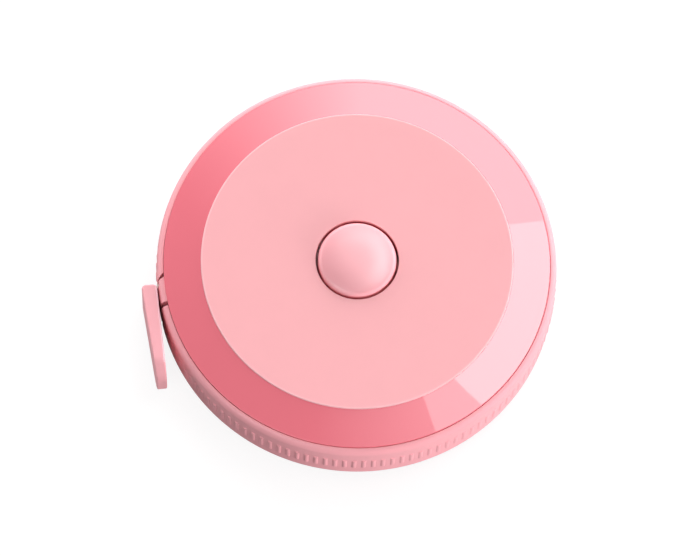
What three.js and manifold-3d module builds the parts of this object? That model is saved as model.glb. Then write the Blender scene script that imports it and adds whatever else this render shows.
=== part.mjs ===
// A round push-button tape measure for sewing: a ribbed case, two bevelled lids, a spring-driven
// reel with a friction brake, and a cloth tape that leaves through a slanted mouth to a pull tab.
// Millimetres. The back face lies on z = 0, +Z points out of the button, +Y is up in the front view.

import * as THREE from 'three';
import { mergeVertices, mergeGeometries } from 'three/addons/utils/BufferGeometryUtils.js';
import Module from 'manifold-3d';

const wasm = await Module();
wasm.setup();

// Case
const CASE_RADIUS = 25;
const RING_WALL = 2.1;
const SHOULDER_WIDTH = 0.8;
const SHOULDER_HEIGHT = 1.25;
const SEAM_GAP = 0.12;
const SEAM_DEPTH = 0.95;
const LEDGE_DEPTH = 1.05;
const LID_FLOOR = 0.9;
const LID_EDGE = 0.15;
const SPIGOT_WALL = 0.7;
const SPIGOT_FIT = 0.2;
const SPIGOT_DEPTH = 1.4;

// Ribs on the side of the case
const RIB_PITCH = 1.2;
const RIB_WIDTH = 0.6;
const RIB_HEIGHT = 0.22;
const RIB_LENGTH = 2.5;

// Inlay discs
const FACE_DISC_RADIUS = 19.5;
const FACE_DISC_THICKNESS = 0.5;
const FACE_DISC_FIT = 0.12;
const FACE_DISC_PROUD = 0.12;
const FACE_DISC_EDGE = 0.15;

// Posts that press the two lids together
const POST_ANGLES = [45, 105, 225, 315].map(THREE.MathUtils.degToRad);
const POST_RADIUS = 1.5;
const POST_PLAY = 0.5;
const PIN_RADIUS = 0.85;
const PIN_LENGTH = 2.5;
const PIN_FIT = 0.06;
const SOCKET_PLAY = 0.3;

// Button
const BUTTON_RADIUS = 4.9;
const BUTTON_GAP = 0.3;
const BUTTON_SINK = 0.1;
const BUTTON_DOME = 1.0;
const BUTTON_DOME_POWER = 3.2;
const BUTTON_EDGE = 0.3;
const BUTTON_CEILING = 0.85;
const BUTTON_BORE = 3.6;
const BUTTON_TRAVEL = 1.2;
const FLANGE_THICKNESS = 0.7;
const KEY_COUNT = 3;
const KEY_WIDTH = 1.2;
const KEY_HEIGHT = 0.5;
const KEY_PLAY = 0.3;

// Brake between the button's flange and the reel
const BRAKE_WIDTH = 1.0;
const BRAKE_THICKNESS = 0.25;
const BRAKE_GAP = 0.15;
const BRAKE_SETBACK = 0.1;

// Reel
const COLLAR_WALL = 0.9;
const COLLAR_DEPTH = 0.8;
const REEL_FIT = 0.2;
const WEB_THICKNESS = 0.6;
const FLANGE_PLAY = 0.5;
const PLATE_STEP = 0.6;
const DRUM_WALL = 1.0;
const PLATE_THICKNESS = 0.5;
const PLATE_FIT = 0.1;
const PLATE_PLAY = 0.3;

// Arbor on the back lid
const ARBOR_RADIUS = 3;
const ARBOR_RISE = 0.5;
const ARBOR_SPIGOT = 1.5;
const ARBOR_SPIGOT_PLAY = 0.6;

// Springs
const MAINSPRING_THICKNESS = 0.2;
const MAINSPRING_PITCH = 0.64;
const MAINSPRING_PLAY = 0.2;
const TANG_LENGTH = 1.2;
const HOOK_POCKET = 0.6;
const HOOK_PLAY = 0.3;
const WIRE_DIAMETER = 0.35;
const WIRE_PITCH = 0.8;
const WIRE_PLAY = 0.1;

// Tape
const TAPE_WIDTH = 7;
const TAPE_THICKNESS = 0.3;
const TAPE_PITCH = 0.74;
const TAPE_PLAY = 0.3;
const WINDING_PLAY = 1.45;
const LEAD_PLAY = 0.2;
const GROOVE_DEPTH = 0.6;
const EXIT_HEADING = THREE.MathUtils.degToRad(235);

// Mouth
const SLOT_PLAY = 0.3;
const LUG_WIDTH = 1.85;
const LUG_GAP = 0.52;
const LIP_GAP = 0.62;
const LIP_TURN = THREE.MathUtils.degToRad(18.4);
const MOUTH_OVERCUT = 0.3;

// Pull tab
const TAB_LENGTH = 12.1;
const TAB_HEIGHT = 7.4;
const TAB_HEAD_THICKNESS = 1.95;
const TAB_END_THICKNESS = 1.25;
const TAB_HEAD_ROUND = 0.5;
const TAB_END_ROUND = 2.6;
const TAB_STANDOFF = 0.3;
const TAB_OFFSET = 0.5;
const TAB_OVERHANG = 0.65;
const TAPE_SEAT = 1.2;

// Facets round a full turn
const CASE_FACETS = 72;
const HUB_FACETS = 48;
const POST_FACETS = 16;
const WINDING_FACETS = 24;
const WIRE_FACETS = 14;
const WIRE_SIDES = 6;
const RIB_SIDES = 6;
const ROUND_STEPS = 5;
const DOME_STEPS = 7;

// Heights
const tapeBottom = FACE_DISC_THICKNESS + LID_FLOOR + TAPE_PLAY;
const tapeTop = tapeBottom + TAPE_WIDTH;
const caseThickness = tapeTop + tapeBottom;
const midHeight = caseThickness / 2;
const lidInside = FACE_DISC_THICKNESS + LID_FLOOR;
const ledgeDepth = SEAM_DEPTH + LEDGE_DEPTH;
const webBottom = tapeTop - WEB_THICKNESS;
const flangeTop = webBottom - BRAKE_GAP - BRAKE_THICKNESS;
const flangeBottom = flangeTop - FLANGE_THICKNESS;
const plateTop = flangeBottom - BUTTON_TRAVEL - PLATE_PLAY;
const plateBottom = plateTop - PLATE_THICKNESS;
const mainspringBottom = tapeBottom + MAINSPRING_PLAY;
const mainspringTop = plateBottom - MAINSPRING_PLAY;
const arborTop = plateTop + ARBOR_RISE;
const buttonEdge = caseThickness - BUTTON_SINK;
const buttonCeiling = buttonEdge - BUTTON_CEILING;

// Radii from the case wall inwards
const ringInside = CASE_RADIUS - RING_WALL;
const lipRadius = CASE_RADIUS - SHOULDER_WIDTH;
const lidRadius = lipRadius - SEAM_GAP;
const recessRadius = FACE_DISC_RADIUS + FACE_DISC_FIT;
const spigotOutside = ringInside - SPIGOT_FIT;
const spigotInside = spigotOutside - SPIGOT_WALL;
const postCircle = spigotInside - POST_PLAY - POST_RADIUS;
const windingRadius = postCircle - POST_RADIUS - WINDING_PLAY;
const tapeLine = windingRadius + LEAD_PLAY + TAPE_THICKNESS / 2;

// Radii from the button outwards
const holeRadius = BUTTON_RADIUS + BUTTON_GAP;
const collarRadius = holeRadius + COLLAR_WALL;
const webBore = collarRadius + REEL_FIT;
const flangeRadius = webBore + BRAKE_WIDTH;
const brakeChamber = flangeRadius + FLANGE_PLAY;
const springChamber = brakeChamber + PLATE_STEP;
const drumRadius = springChamber + DRUM_WALL;
const keyRadius = BUTTON_RADIUS + KEY_HEIGHT;

// Angles round the case
const contactAngle = EXIT_HEADING - Math.PI / 2;
const slotHalf = TAPE_THICKNESS / 2 + SLOT_PLAY;
const mouthAngle = contactAngle + Math.acos(tapeLine / CASE_RADIUS);
const lugStart = contactAngle + Math.acos((tapeLine - slotHalf) / CASE_RADIUS);
const lugEnd = lugStart + LUG_WIDTH / CASE_RADIUS;
const ringStart = lugEnd + LUG_GAP / CASE_RADIUS;
const tabAngle = mouthAngle + TAB_OFFSET / CASE_RADIUS;

// How far out the mouth's outlines reach, just past the case wall
const mouthReach = CASE_RADIUS + MOUTH_OVERCUT;

// A closed geometry with shared vertices, no empty triangles and its faces pointing out
function closed(source) {
  const bare = source.index ? source.toNonIndexed() : source.clone();
  bare.deleteAttribute('normal');
  bare.deleteAttribute('uv');
  const merged = mergeVertices(bare, 1e-4);
  const kept = [];
  const index = merged.index.array;
  const corner = [0, 1, 2].map(() => new THREE.Vector3());
  let volume = 0;
  for (let i = 0; i < index.length; i += 3) {
    const [a, b, c] = index.slice(i, i + 3);
    if (a === b || b === c || c === a) continue;
    kept.push(a, b, c);
    [a, b, c].forEach((vertex, k) => corner[k].fromBufferAttribute(merged.attributes.position, vertex));
    volume += corner[0].dot(corner[1].cross(corner[2]));
  }
  merged.setIndex(volume < 0 ? kept.reverse() : kept);
  return merged;
}

// A solid for joining and cutting
function solid(geometry) {
  const shape = closed(geometry);
  const vertProperties = new Float32Array(shape.attributes.position.array);
  const triVerts = new Uint32Array(shape.index.array);
  return new wasm.Manifold(new wasm.Mesh({ numProp: 3, vertProperties, triVerts }));
}

// The geometry of a finished solid
function geometryOf(made) {
  const { vertProperties, triVerts, numProp } = made.getMesh();
  const positions = new Float32Array((vertProperties.length / numProp) * 3);
  for (let i = 0; i < positions.length / 3; i += 1) {
    for (let k = 0; k < 3; k += 1) positions[i * 3 + k] = vertProperties[i * numProp + k];
  }
  const geometry = new THREE.BufferGeometry();
  geometry.setAttribute('position', new THREE.BufferAttribute(positions, 3));
  geometry.setIndex(new THREE.BufferAttribute(new Uint32Array(triVerts), 1));
  return geometry;
}

// A solid of revolution about Z from [radius, height] points
function turned(profile, facets) {
  const points = profile.map(([radius, height]) => new THREE.Vector2(radius, height));
  return new THREE.LatheGeometry(points, facets).rotateX(Math.PI / 2);
}

// A turned profile that closes on itself, clear of the axis
function turnedRing(profile, facets) {
  return turned([...profile, profile[0]], facets);
}

// A flat ring or tube
function washer(inner, outer, bottom, top, facets) {
  return turnedRing([[inner, bottom], [outer, bottom], [outer, top], [inner, top]], facets);
}

// A round bar along Z
function bar(radius, bottom, top, facets) {
  return turned([[0, bottom], [radius, bottom], [radius, top], [0, top]], facets);
}

// A plan outline raised along Z
function raised(shape, bottom, top) {
  const geometry = new THREE.ExtrudeGeometry(shape, {
    depth: top - bottom,
    bevelEnabled: false,
    curveSegments: ROUND_STEPS,
  });
  return geometry.translate(0, 0, bottom);
}

// A block that spans two radii at an angle round the axis
function radialBlock(inner, outer, width, bottom, top, angle) {
  return new THREE.BoxGeometry(outer - inner, width, top - bottom)
    .translate((inner + outer) / 2, 0, (bottom + top) / 2)
    .rotateZ(angle);
}

function polar(radius, angle) {
  return new THREE.Vector2(radius * Math.cos(angle), radius * Math.sin(angle));
}

// Points of an elliptical quarter round, from start to end, as [radius, height]
function quarterRound(centre, halfWidth, halfHeight, from, to) {
  return Array.from({ length: ROUND_STEPS + 1 }, (_, i) => {
    const angle = from + ((to - from) * i) / ROUND_STEPS;
    return [centre[0] + halfWidth * Math.cos(angle), centre[1] + halfHeight * Math.sin(angle)];
  });
}

// A strip of even thickness along a plan path, as an outline
function strip(path, thickness) {
  const left = [];
  const right = [];
  path.forEach((point, i) => {
    const before = path[Math.max(i - 1, 0)];
    const after = path[Math.min(i + 1, path.length - 1)];
    const arriving = (i > 0 ? point.clone().sub(before) : after.clone().sub(point)).normalize();
    const leaving = (after !== point ? after.clone().sub(point) : point.clone().sub(before)).normalize();
    const along = arriving.clone().add(leaving).normalize();
    const reach = thickness / 2 / along.dot(arriving);
    const across = new THREE.Vector2(-along.y, along.x).multiplyScalar(reach);
    left.push(point.clone().add(across));
    right.push(point.clone().sub(across));
  });
  return new THREE.Shape([...left, ...right.reverse()]);
}

// A flat spiral that grows anticlockwise and ends at a given angle
function spiral(inner, outer, pitch, endAngle) {
  const turns = (outer - inner) / pitch;
  const steps = Math.round(turns * WINDING_FACETS);
  return Array.from({ length: steps + 1 }, (_, i) => {
    const angle = endAngle - 2 * Math.PI * turns * (1 - i / steps);
    return polar(inner + ((outer - inner) * i) / steps, angle);
  });
}

// The least gap between one turn and the next, measured on the path's points
function leastGap(path, thickness, stepsPerTurn) {
  const apart = Math.round(stepsPerTurn / 2);
  let least = Infinity;
  for (let i = 0; i < path.length; i += 1) {
    for (let j = i + apart; j < path.length; j += 1) {
      least = Math.min(least, path[i].distanceTo(path[j]) - thickness);
    }
  }
  return least;
}

// Plan position of a point along the tape's line and beside it
function besideTape(along, offset) {
  const outward = polar(tapeLine + offset, contactAngle);
  return outward.add(polar(along, EXIT_HEADING));
}

// Distance along the tape's line at which a line beside it crosses a radius
function alongTape(radius, offset) {
  return Math.sqrt(radius ** 2 - (tapeLine + offset) ** 2);
}

// A slab that follows the tape's line, for the tape itself and for what it passes through
function tapeSlab(start, end, thickness, bottom, top) {
  const path = [besideTape(start, 0), besideTape(end, 0)];
  return raised(strip(path, thickness), bottom, top);
}

// Side band: shoulders, ledges for the lids, ribs, and the notch of the mouth
function caseRing() {
  const low = SEAM_DEPTH + SHOULDER_HEIGHT;
  const high = caseThickness - low;
  const bottomRound = quarterRound([lipRadius, low], SHOULDER_WIDTH, SHOULDER_HEIGHT, -Math.PI / 2, 0);
  const topRound = quarterRound([lipRadius, high], SHOULDER_WIDTH, SHOULDER_HEIGHT, 0, Math.PI / 2);
  const profile = [
    [ringInside, ledgeDepth],
    [lipRadius, ledgeDepth],
    ...bottomRound,
    ...topRound,
    [lipRadius, caseThickness - ledgeDepth],
    [ringInside, caseThickness - ledgeDepth],
  ];
  const band = solid(turnedRing(profile, CASE_FACETS));
  return geometryOf(band.add(solid(ribs())).subtract(solid(mouthNotch())));
}

// Small upright ribs at mid height, left out at the mouth
function ribs() {
  const count = Math.round((2 * Math.PI * CASE_RADIUS) / RIB_PITCH);
  const pitch = (2 * Math.PI) / count;
  const made = [];
  for (let i = 0; i < count; i += 1) {
    const angle = ringStart + pitch * (i + 1);
    if (angle > lugStart + 2 * Math.PI - 2 * pitch) break;
    const rib = new THREE.CylinderGeometry(RIB_WIDTH / 2, RIB_WIDTH / 2, RIB_LENGTH, RIB_SIDES)
      .rotateX(Math.PI / 2)
      .translate(CASE_RADIUS + RIB_HEIGHT - RIB_WIDTH / 2, 0, midHeight)
      .rotateZ(angle);
    made.push(rib);
  }
  return mergeGeometries(made);
}

// What the mouth takes out of the band: from the tape's slot to the far side of the mouth block
function mouthNotch() {
  const inner = spigotInside;
  const outline = new THREE.Shape([
    besideTape(alongTape(inner, slotHalf), slotHalf),
    besideTape(alongTape(mouthReach, slotHalf), slotHalf),
    polar(mouthReach, ringStart),
    polar(inner, ringStart),
  ]);
  return raised(outline, 0, caseThickness);
}

// The case's outer form from mid height up to one lid's edge, which shapes the mouth block
function shoulderForm() {
  const high = caseThickness - SEAM_DEPTH - SHOULDER_HEIGHT;
  const round = quarterRound([lipRadius, high], SHOULDER_WIDTH, SHOULDER_HEIGHT, 0, Math.PI / 2);
  const profile = [[0, midHeight], [CASE_RADIUS, midHeight], ...round, [0, caseThickness - SEAM_DEPTH]];
  return turned(profile, CASE_FACETS);
}

// Upper half of the block that guides the tape out of the mouth
function mouthBlock() {
  const inner = (spigotInside + spigotOutside) / 2;
  const outline = new THREE.Shape([
    besideTape(alongTape(inner, -slotHalf), -slotHalf),
    besideTape(alongTape(mouthReach, -slotHalf), -slotHalf),
    polar(mouthReach, lugEnd),
    polar(inner, lugEnd),
  ]);
  const block = solid(raised(outline, 0, caseThickness));
  return block.add(solid(mouthLip())).intersect(solid(shoulderForm()));
}

// Slanted lip of the block, which covers the tape's edge beside the band's cut end
function mouthLip() {
  const bandEnd = contactAngle + Math.acos((tapeLine + slotHalf) / lipRadius);
  const corner = polar(lipRadius, bandEnd + LIP_GAP / lipRadius);
  const edge = polar(RING_WALL, EXIT_HEADING - LIP_TURN);
  const outline = new THREE.Shape([
    corner.clone().sub(edge),
    corner.clone().add(edge),
    polar(mouthReach, lugEnd),
    polar(spigotOutside, lugEnd),
  ]);
  return raised(outline, caseThickness - lidInside, caseThickness);
}

// A front lid blank: floor, bevel, edge on the ring's ledge, spigot, mouth block and tape slot
function lidBlank(innerProfile) {
  const inside = caseThickness - lidInside;
  const ledge = caseThickness - ledgeDepth;
  const seam = caseThickness - SEAM_DEPTH;
  const spigotEnd = inside - SPIGOT_DEPTH;
  const profile = [
    ...innerProfile,
    [spigotInside, inside],
    [spigotInside, spigotEnd],
    [spigotOutside, spigotEnd],
    [spigotOutside, ledge],
    [lidRadius, ledge],
    [lidRadius, seam - LID_EDGE],
    [lidRadius - LID_EDGE, seam],
    [recessRadius, caseThickness - FACE_DISC_PROUD],
    [recessRadius, caseThickness - FACE_DISC_THICKNESS],
  ];
  const floor = innerProfile[0][0];
  const outline = [...profile, [floor, caseThickness - FACE_DISC_THICKNESS]];
  const lid = solid(floor > 0 ? turnedRing(outline, CASE_FACETS) : turned(outline, CASE_FACETS));
  const slot = tapeSlab(0, CASE_RADIUS, 2 * slotHalf, lidInside, inside);
  return lid.add(mouthBlock()).subtract(solid(slot));
}

// Front lid with the button's guide collar, keyways and the sockets of the press posts
function frontCover() {
  const inside = caseThickness - lidInside;
  const collarEnd = inside - COLLAR_DEPTH;
  const collar = [[holeRadius, collarEnd], [collarRadius, collarEnd], [collarRadius, inside]];
  let lid = lidBlank(collar);
  const top = inside + LID_FLOOR / 2;
  const pinTop = midHeight + PIN_LENGTH + SOCKET_PLAY;
  POST_ANGLES.forEach((angle) => {
    const { x, y } = polar(postCircle, angle);
    lid = lid.add(solid(bar(POST_RADIUS, midHeight, top, POST_FACETS).translate(x, y, 0)));
    const bore = bar(PIN_RADIUS + PIN_FIT, midHeight - SOCKET_PLAY, pinTop, POST_FACETS);
    lid = lid.subtract(solid(bore.translate(x, y, 0)));
  });
  const keyway = keyRadius + KEY_PLAY;
  keyAngles().forEach((angle) => {
    const width = KEY_WIDTH + 2 * KEY_PLAY;
    lid = lid.subtract(solid(radialBlock(0, keyway, width, collarEnd - KEY_PLAY, caseThickness, angle)));
  });
  return geometryOf(lid);
}

function keyAngles() {
  return Array.from({ length: KEY_COUNT }, (_, i) => (2 * Math.PI * i) / KEY_COUNT);
}

// Back lid with the press posts and the arbor that holds the mainspring's inner end
function backCover() {
  const blank = lidBlank([[0, caseThickness - lidInside]]);
  const mirror = new THREE.Matrix4().makeScale(1, 1, -1).setPosition(0, 0, caseThickness);
  let lid = solid(geometryOf(blank).applyMatrix4(mirror));
  const foot = lidInside - LID_FLOOR / 2;
  POST_ANGLES.forEach((angle) => {
    const { x, y } = polar(postCircle, angle);
    const profile = [
      [0, foot],
      [POST_RADIUS, foot],
      [POST_RADIUS, midHeight],
      [PIN_RADIUS, midHeight],
      [PIN_RADIUS, midHeight + PIN_LENGTH],
      [0, midHeight + PIN_LENGTH],
    ];
    lid = lid.add(solid(turned(profile, POST_FACETS).translate(x, y, 0)));
  });
  return geometryOf(lid.add(arbor(foot)));
}

// Fixed arbor: a slotted post with a spigot for the button's spring
function arbor(foot) {
  const spigotTop = buttonCeiling - BUTTON_TRAVEL - ARBOR_SPIGOT_PLAY;
  const profile = [
    [0, foot],
    [ARBOR_RADIUS, foot],
    [ARBOR_RADIUS, arborTop],
    [ARBOR_SPIGOT, arborTop],
    [ARBOR_SPIGOT, spigotTop],
    [0, spigotTop],
  ];
  const pocket = radialBlock(
    ARBOR_RADIUS - TANG_LENGTH - HOOK_PLAY,
    ARBOR_RADIUS + HOOK_PLAY,
    MAINSPRING_THICKNESS + 2 * HOOK_PLAY,
    mainspringBottom - MAINSPRING_PLAY,
    mainspringTop + MAINSPRING_PLAY,
    mainspringStart(),
  );
  return solid(turned(profile, HUB_FACETS)).subtract(solid(pocket));
}

// Inlay disc with its seat on z = 0 and an eased outer edge
function faceDisc(hole) {
  const top = FACE_DISC_THICKNESS;
  const rim = [
    [FACE_DISC_RADIUS, 0],
    [FACE_DISC_RADIUS, top - FACE_DISC_EDGE],
    [FACE_DISC_RADIUS - FACE_DISC_EDGE, top],
  ];
  const profile = [[hole, 0], ...rim, [hole, top]];
  return closed(hole > 0 ? turnedRing(profile, CASE_FACETS) : turned(profile, CASE_FACETS));
}

// Button: domed cap, hollow skirt with keys, and the flange that carries the brake ring
function button() {
  const rise = BUTTON_DOME - BUTTON_EDGE + BUTTON_SINK;
  const shoulder = BUTTON_RADIUS - BUTTON_EDGE;
  const edge = quarterRound([shoulder, buttonEdge], BUTTON_EDGE, BUTTON_EDGE, 0, Math.PI / 2);
  const dome = Array.from({ length: DOME_STEPS }, (_, i) => {
    const radius = shoulder * (1 - (i + 1) / DOME_STEPS);
    return [radius, buttonEdge + BUTTON_EDGE + rise * (1 - (radius / shoulder) ** BUTTON_DOME_POWER)];
  });
  const profile = [
    [0, buttonCeiling],
    [BUTTON_BORE, buttonCeiling],
    [BUTTON_BORE, flangeBottom],
    [flangeRadius, flangeBottom],
    [flangeRadius, flangeTop],
    [BUTTON_RADIUS, flangeTop],
    ...edge,
    ...dome,
  ];
  const keyTop = caseThickness - FACE_DISC_THICKNESS - KEY_PLAY;
  let made = solid(turned(profile, HUB_FACETS));
  keyAngles().forEach((angle) => {
    const key = radialBlock(BUTTON_BORE, keyRadius, KEY_WIDTH, flangeBottom, keyTop, angle);
    made = made.add(solid(key).subtract(solid(bar(BUTTON_BORE, 0, caseThickness, HUB_FACETS))));
  });
  return geometryOf(made);
}

// Friction ring on the flange
function brakeRing() {
  const inner = keyRadius + KEY_PLAY;
  const outer = flangeRadius - BRAKE_SETBACK;
  return closed(washer(inner, outer, flangeTop, flangeTop + BRAKE_THICKNESS, HUB_FACETS));
}

// Coil spring between the arbor and the button's ceiling
function buttonSpring() {
  const start = arborTop + WIRE_PLAY + WIRE_DIAMETER / 2;
  const end = buttonCeiling - WIRE_PLAY - WIRE_DIAMETER / 2;
  const turns = (end - start) / WIRE_PITCH;
  const radius = (ARBOR_SPIGOT + ARBOR_RADIUS) / 2;
  class Helix extends THREE.Curve {
    getPoint(t, target = new THREE.Vector3()) {
      const { x, y } = polar(radius, 2 * Math.PI * turns * t);
      return target.set(x, y, start + (end - start) * t);
    }
  }
  const path = new Helix();
  const steps = Math.ceil(turns * WIRE_FACETS);
  const sides = Array.from({ length: WIRE_SIDES }, (_, i) => (
    polar(WIRE_DIAMETER / 2, (2 * Math.PI * i) / WIRE_SIDES)
  ));
  const gap = leastGap(path.getPoints(steps), WIRE_DIAMETER, WIRE_FACETS);
  console.log(`button_spring: least gap between turns ${gap.toFixed(3)} mm`);
  const geometry = new THREE.ExtrudeGeometry(new THREE.Shape(sides), { steps, extrudePath: path });
  return closed(geometry);
}

// Drum: stepped chamber for plate, brake and spring, with a groove for the tape and a pocket for the hook
function reelDrum() {
  const profile = [
    [springChamber, tapeBottom],
    [drumRadius, tapeBottom],
    [drumRadius, tapeTop],
    [webBore, tapeTop],
    [webBore, webBottom],
    [brakeChamber, webBottom],
    [brakeChamber, plateTop],
    [springChamber, plateTop],
  ];
  const groove = radialBlock(
    drumRadius - GROOVE_DEPTH,
    drumRadius + GROOVE_DEPTH,
    TAPE_THICKNESS + 2 * HOOK_PLAY,
    tapeBottom - TAPE_PLAY,
    tapeTop + TAPE_PLAY,
    tapePath().startAngle,
  );
  const pocket = radialBlock(
    springChamber - HOOK_POCKET,
    springChamber + HOOK_POCKET,
    MAINSPRING_THICKNESS + 2 * HOOK_PLAY,
    tapeBottom - TAPE_PLAY,
    plateBottom,
    hookAngle(),
  );
  return geometryOf(solid(turnedRing(profile, HUB_FACETS)).subtract(solid(groove)).subtract(solid(pocket)));
}

// Plate that closes the spring chamber and runs on the arbor
function springPlate() {
  const inner = ARBOR_RADIUS + REEL_FIT;
  const outer = springChamber - PLATE_FIT;
  return closed(washer(inner, outer, plateBottom, plateTop, HUB_FACETS));
}

// The hook stands half a turn from the tape's groove
function hookAngle() {
  return tapePath().startAngle + Math.PI;
}

function mainspringRadii() {
  const inner = ARBOR_RADIUS + HOOK_PLAY + MAINSPRING_THICKNESS / 2;
  const outer = springChamber - HOOK_PLAY - MAINSPRING_THICKNESS / 2;
  return { inner, outer };
}

function mainspringStart() {
  const { inner, outer } = mainspringRadii();
  return hookAngle() - (2 * Math.PI * (outer - inner)) / MAINSPRING_PITCH;
}

// Flat spiral spring from the arbor's pocket to the drum's pocket
function mainspring() {
  const { inner, outer } = mainspringRadii();
  const turns = spiral(inner, outer, MAINSPRING_PITCH, hookAngle());
  const gap = leastGap(turns, MAINSPRING_THICKNESS, WINDING_FACETS);
  console.log(`mainspring: least gap between turns ${gap.toFixed(3)} mm`);
  const path = [
    polar(ARBOR_RADIUS - TANG_LENGTH, mainspringStart()),
    ...turns,
    polar(springChamber + HOOK_POCKET - HOOK_PLAY, hookAngle()),
  ];
  return closed(raised(strip(path, MAINSPRING_THICKNESS), mainspringBottom, mainspringTop));
}

// Centre line of the wound tape, and the angle at which its inner end enters the drum
function tapePath() {
  const inner = drumRadius + HOOK_PLAY + TAPE_THICKNESS / 2;
  const outer = windingRadius - TAPE_THICKNESS / 2;
  const startAngle = contactAngle - (2 * Math.PI * (outer - inner)) / TAPE_PITCH;
  return { turns: spiral(inner, outer, TAPE_PITCH, contactAngle), startAngle };
}

// Wound tape with its inner end tucked into the drum's groove
function tapeCoil() {
  const { turns, startAngle } = tapePath();
  const gap = leastGap(turns, TAPE_THICKNESS, WINDING_FACETS);
  console.log(`tape_coil: least gap between turns ${gap.toFixed(3)} mm`);
  const path = [polar(drumRadius - GROOVE_DEPTH + HOOK_PLAY, startAngle), ...turns];
  return closed(raised(strip(path, TAPE_THICKNESS), tapeBottom, tapeTop));
}

// Straight end of the tape, from the coil through the mouth into the tab
function tapeLead() {
  const end = alongTape(CASE_RADIUS, 0) + TAPE_SEAT;
  return closed(tapeSlab(0, end, TAPE_THICKNESS, tapeBottom, tapeTop));
}

// Pull tab: a tapered plate with a round head and rounded free corners, slit for the tape's end
function pullTab() {
  const end = TAB_LENGTH - TAB_OVERHANG;
  const plan = new THREE.Shape();
  const endRound = TAB_END_THICKNESS / 2;
  plan.moveTo(0, TAB_HEAD_ROUND - TAB_OVERHANG);
  plan.absarc(TAB_HEAD_ROUND, TAB_HEAD_ROUND - TAB_OVERHANG, TAB_HEAD_ROUND, Math.PI, 1.5 * Math.PI, false);
  const outerHead = TAB_HEAD_THICKNESS - TAB_HEAD_ROUND;
  plan.absarc(outerHead, TAB_HEAD_ROUND - TAB_OVERHANG, TAB_HEAD_ROUND, -0.5 * Math.PI, 0, false);
  plan.absarc(endRound, end - endRound, endRound, 0, Math.PI, false);
  const side = new THREE.Shape();
  side.moveTo(-TAB_OVERHANG, -TAB_HEIGHT / 2);
  side.lineTo(end - TAB_END_ROUND, -TAB_HEIGHT / 2);
  side.absarc(end - TAB_END_ROUND, TAB_END_ROUND - TAB_HEIGHT / 2, TAB_END_ROUND, -Math.PI / 2, 0, false);
  side.absarc(end - TAB_END_ROUND, TAB_HEIGHT / 2 - TAB_END_ROUND, TAB_END_ROUND, 0, Math.PI / 2, false);
  side.lineTo(-TAB_OVERHANG, TAB_HEIGHT / 2);
  const plate = solid(raised(plan, -TAB_HEIGHT / 2, TAB_HEIGHT / 2));
  const sideways = new THREE.Matrix4().makeBasis(
    new THREE.Vector3(0, 1, 0),
    new THREE.Vector3(0, 0, 1),
    new THREE.Vector3(1, 0, 0),
  );
  const outline = raised(side, -TAB_HEAD_THICKNESS, 2 * TAB_HEAD_THICKNESS).applyMatrix4(sideways);
  const placed = geometryOf(plate.intersect(solid(outline)))
    .translate(CASE_RADIUS + TAB_STANDOFF, 0, midHeight)
    .rotateZ(tabAngle);
  const reach = alongTape(CASE_RADIUS, 0) + TAPE_SEAT + SLOT_PLAY;
  const slit = tapeSlab(0, reach, 2 * slotHalf, tapeBottom - TAPE_PLAY, tapeTop + TAPE_PLAY);
  return geometryOf(solid(placed).subtract(solid(slit)));
}

// Finishes
function plastic(color, roughness) {
  return new THREE.MeshStandardMaterial({ color, roughness, metalness: 0 });
}

function steel(color) {
  return new THREE.MeshStandardMaterial({ color, roughness: 0.35, metalness: 1 });
}

function piece(name, geometry, material) {
  geometry.computeVertexNormals();
  const mesh = new THREE.Mesh(geometry, material);
  mesh.name = name;
  return mesh;
}

const tapeMeasure = new THREE.Group();

const housing = new THREE.Group();
const frontDisc = piece('front_face_disc', faceDisc(holeRadius), plastic(0xfab6bb, 0.7));
frontDisc.position.z = caseThickness - FACE_DISC_THICKNESS;
const backDisc = piece('back_face_disc', faceDisc(0), plastic(0xfab6bb, 0.7));
backDisc.rotation.x = Math.PI;
backDisc.position.z = FACE_DISC_THICKNESS;
housing.add(
  piece('case_ring', caseRing(), plastic(0xf6a3ac, 0.4)),
  piece('front_cover', frontCover(), plastic(0xec7f8d, 0.12)),
  piece('back_cover', backCover(), plastic(0xec7f8d, 0.12)),
  frontDisc,
  backDisc,
);

const pushButton = new THREE.Group();
pushButton.add(
  piece('button', button(), plastic(0xf7a9b1, 0.35)),
  piece('brake_ring', brakeRing(), plastic(0x33302f, 0.9)),
  piece('button_spring', buttonSpring(), steel(0xb9bcc0)),
);

const reel = new THREE.Group();
reel.add(
  piece('reel_drum', reelDrum(), plastic(0xe9e4e0, 0.5)),
  piece('spring_plate', springPlate(), plastic(0xd8d3cf, 0.5)),
  piece('mainspring', mainspring(), steel(0x8d9097)),
  piece('tape_coil', tapeCoil(), plastic(0xf4efe6, 0.65)),
);

const tapeEnd = new THREE.Group();
tapeEnd.add(
  piece('tape_lead', tapeLead(), plastic(0xf4efe6, 0.65)),
  piece('pull_tab', pullTab(), plastic(0xf8b0b8, 0.4)),
);

tapeMeasure.add(housing, pushButton, reel, tapeEnd);

export default tapeMeasure;
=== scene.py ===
"""A round push-button tape measure for sewing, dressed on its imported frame.

The side band, lids, inlays, button, springs, tab and tape are shaped here, in millimetres, and
scaled to metres at the end. The reel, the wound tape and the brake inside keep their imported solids.
"""
import math
from types import SimpleNamespace

import bmesh
import bpy
from bpy.props import FloatProperty, FloatVectorProperty, IntProperty, PointerProperty
from bpy.types import Operator, Panel, PropertyGroup
from mathutils import Matrix, Vector


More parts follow.
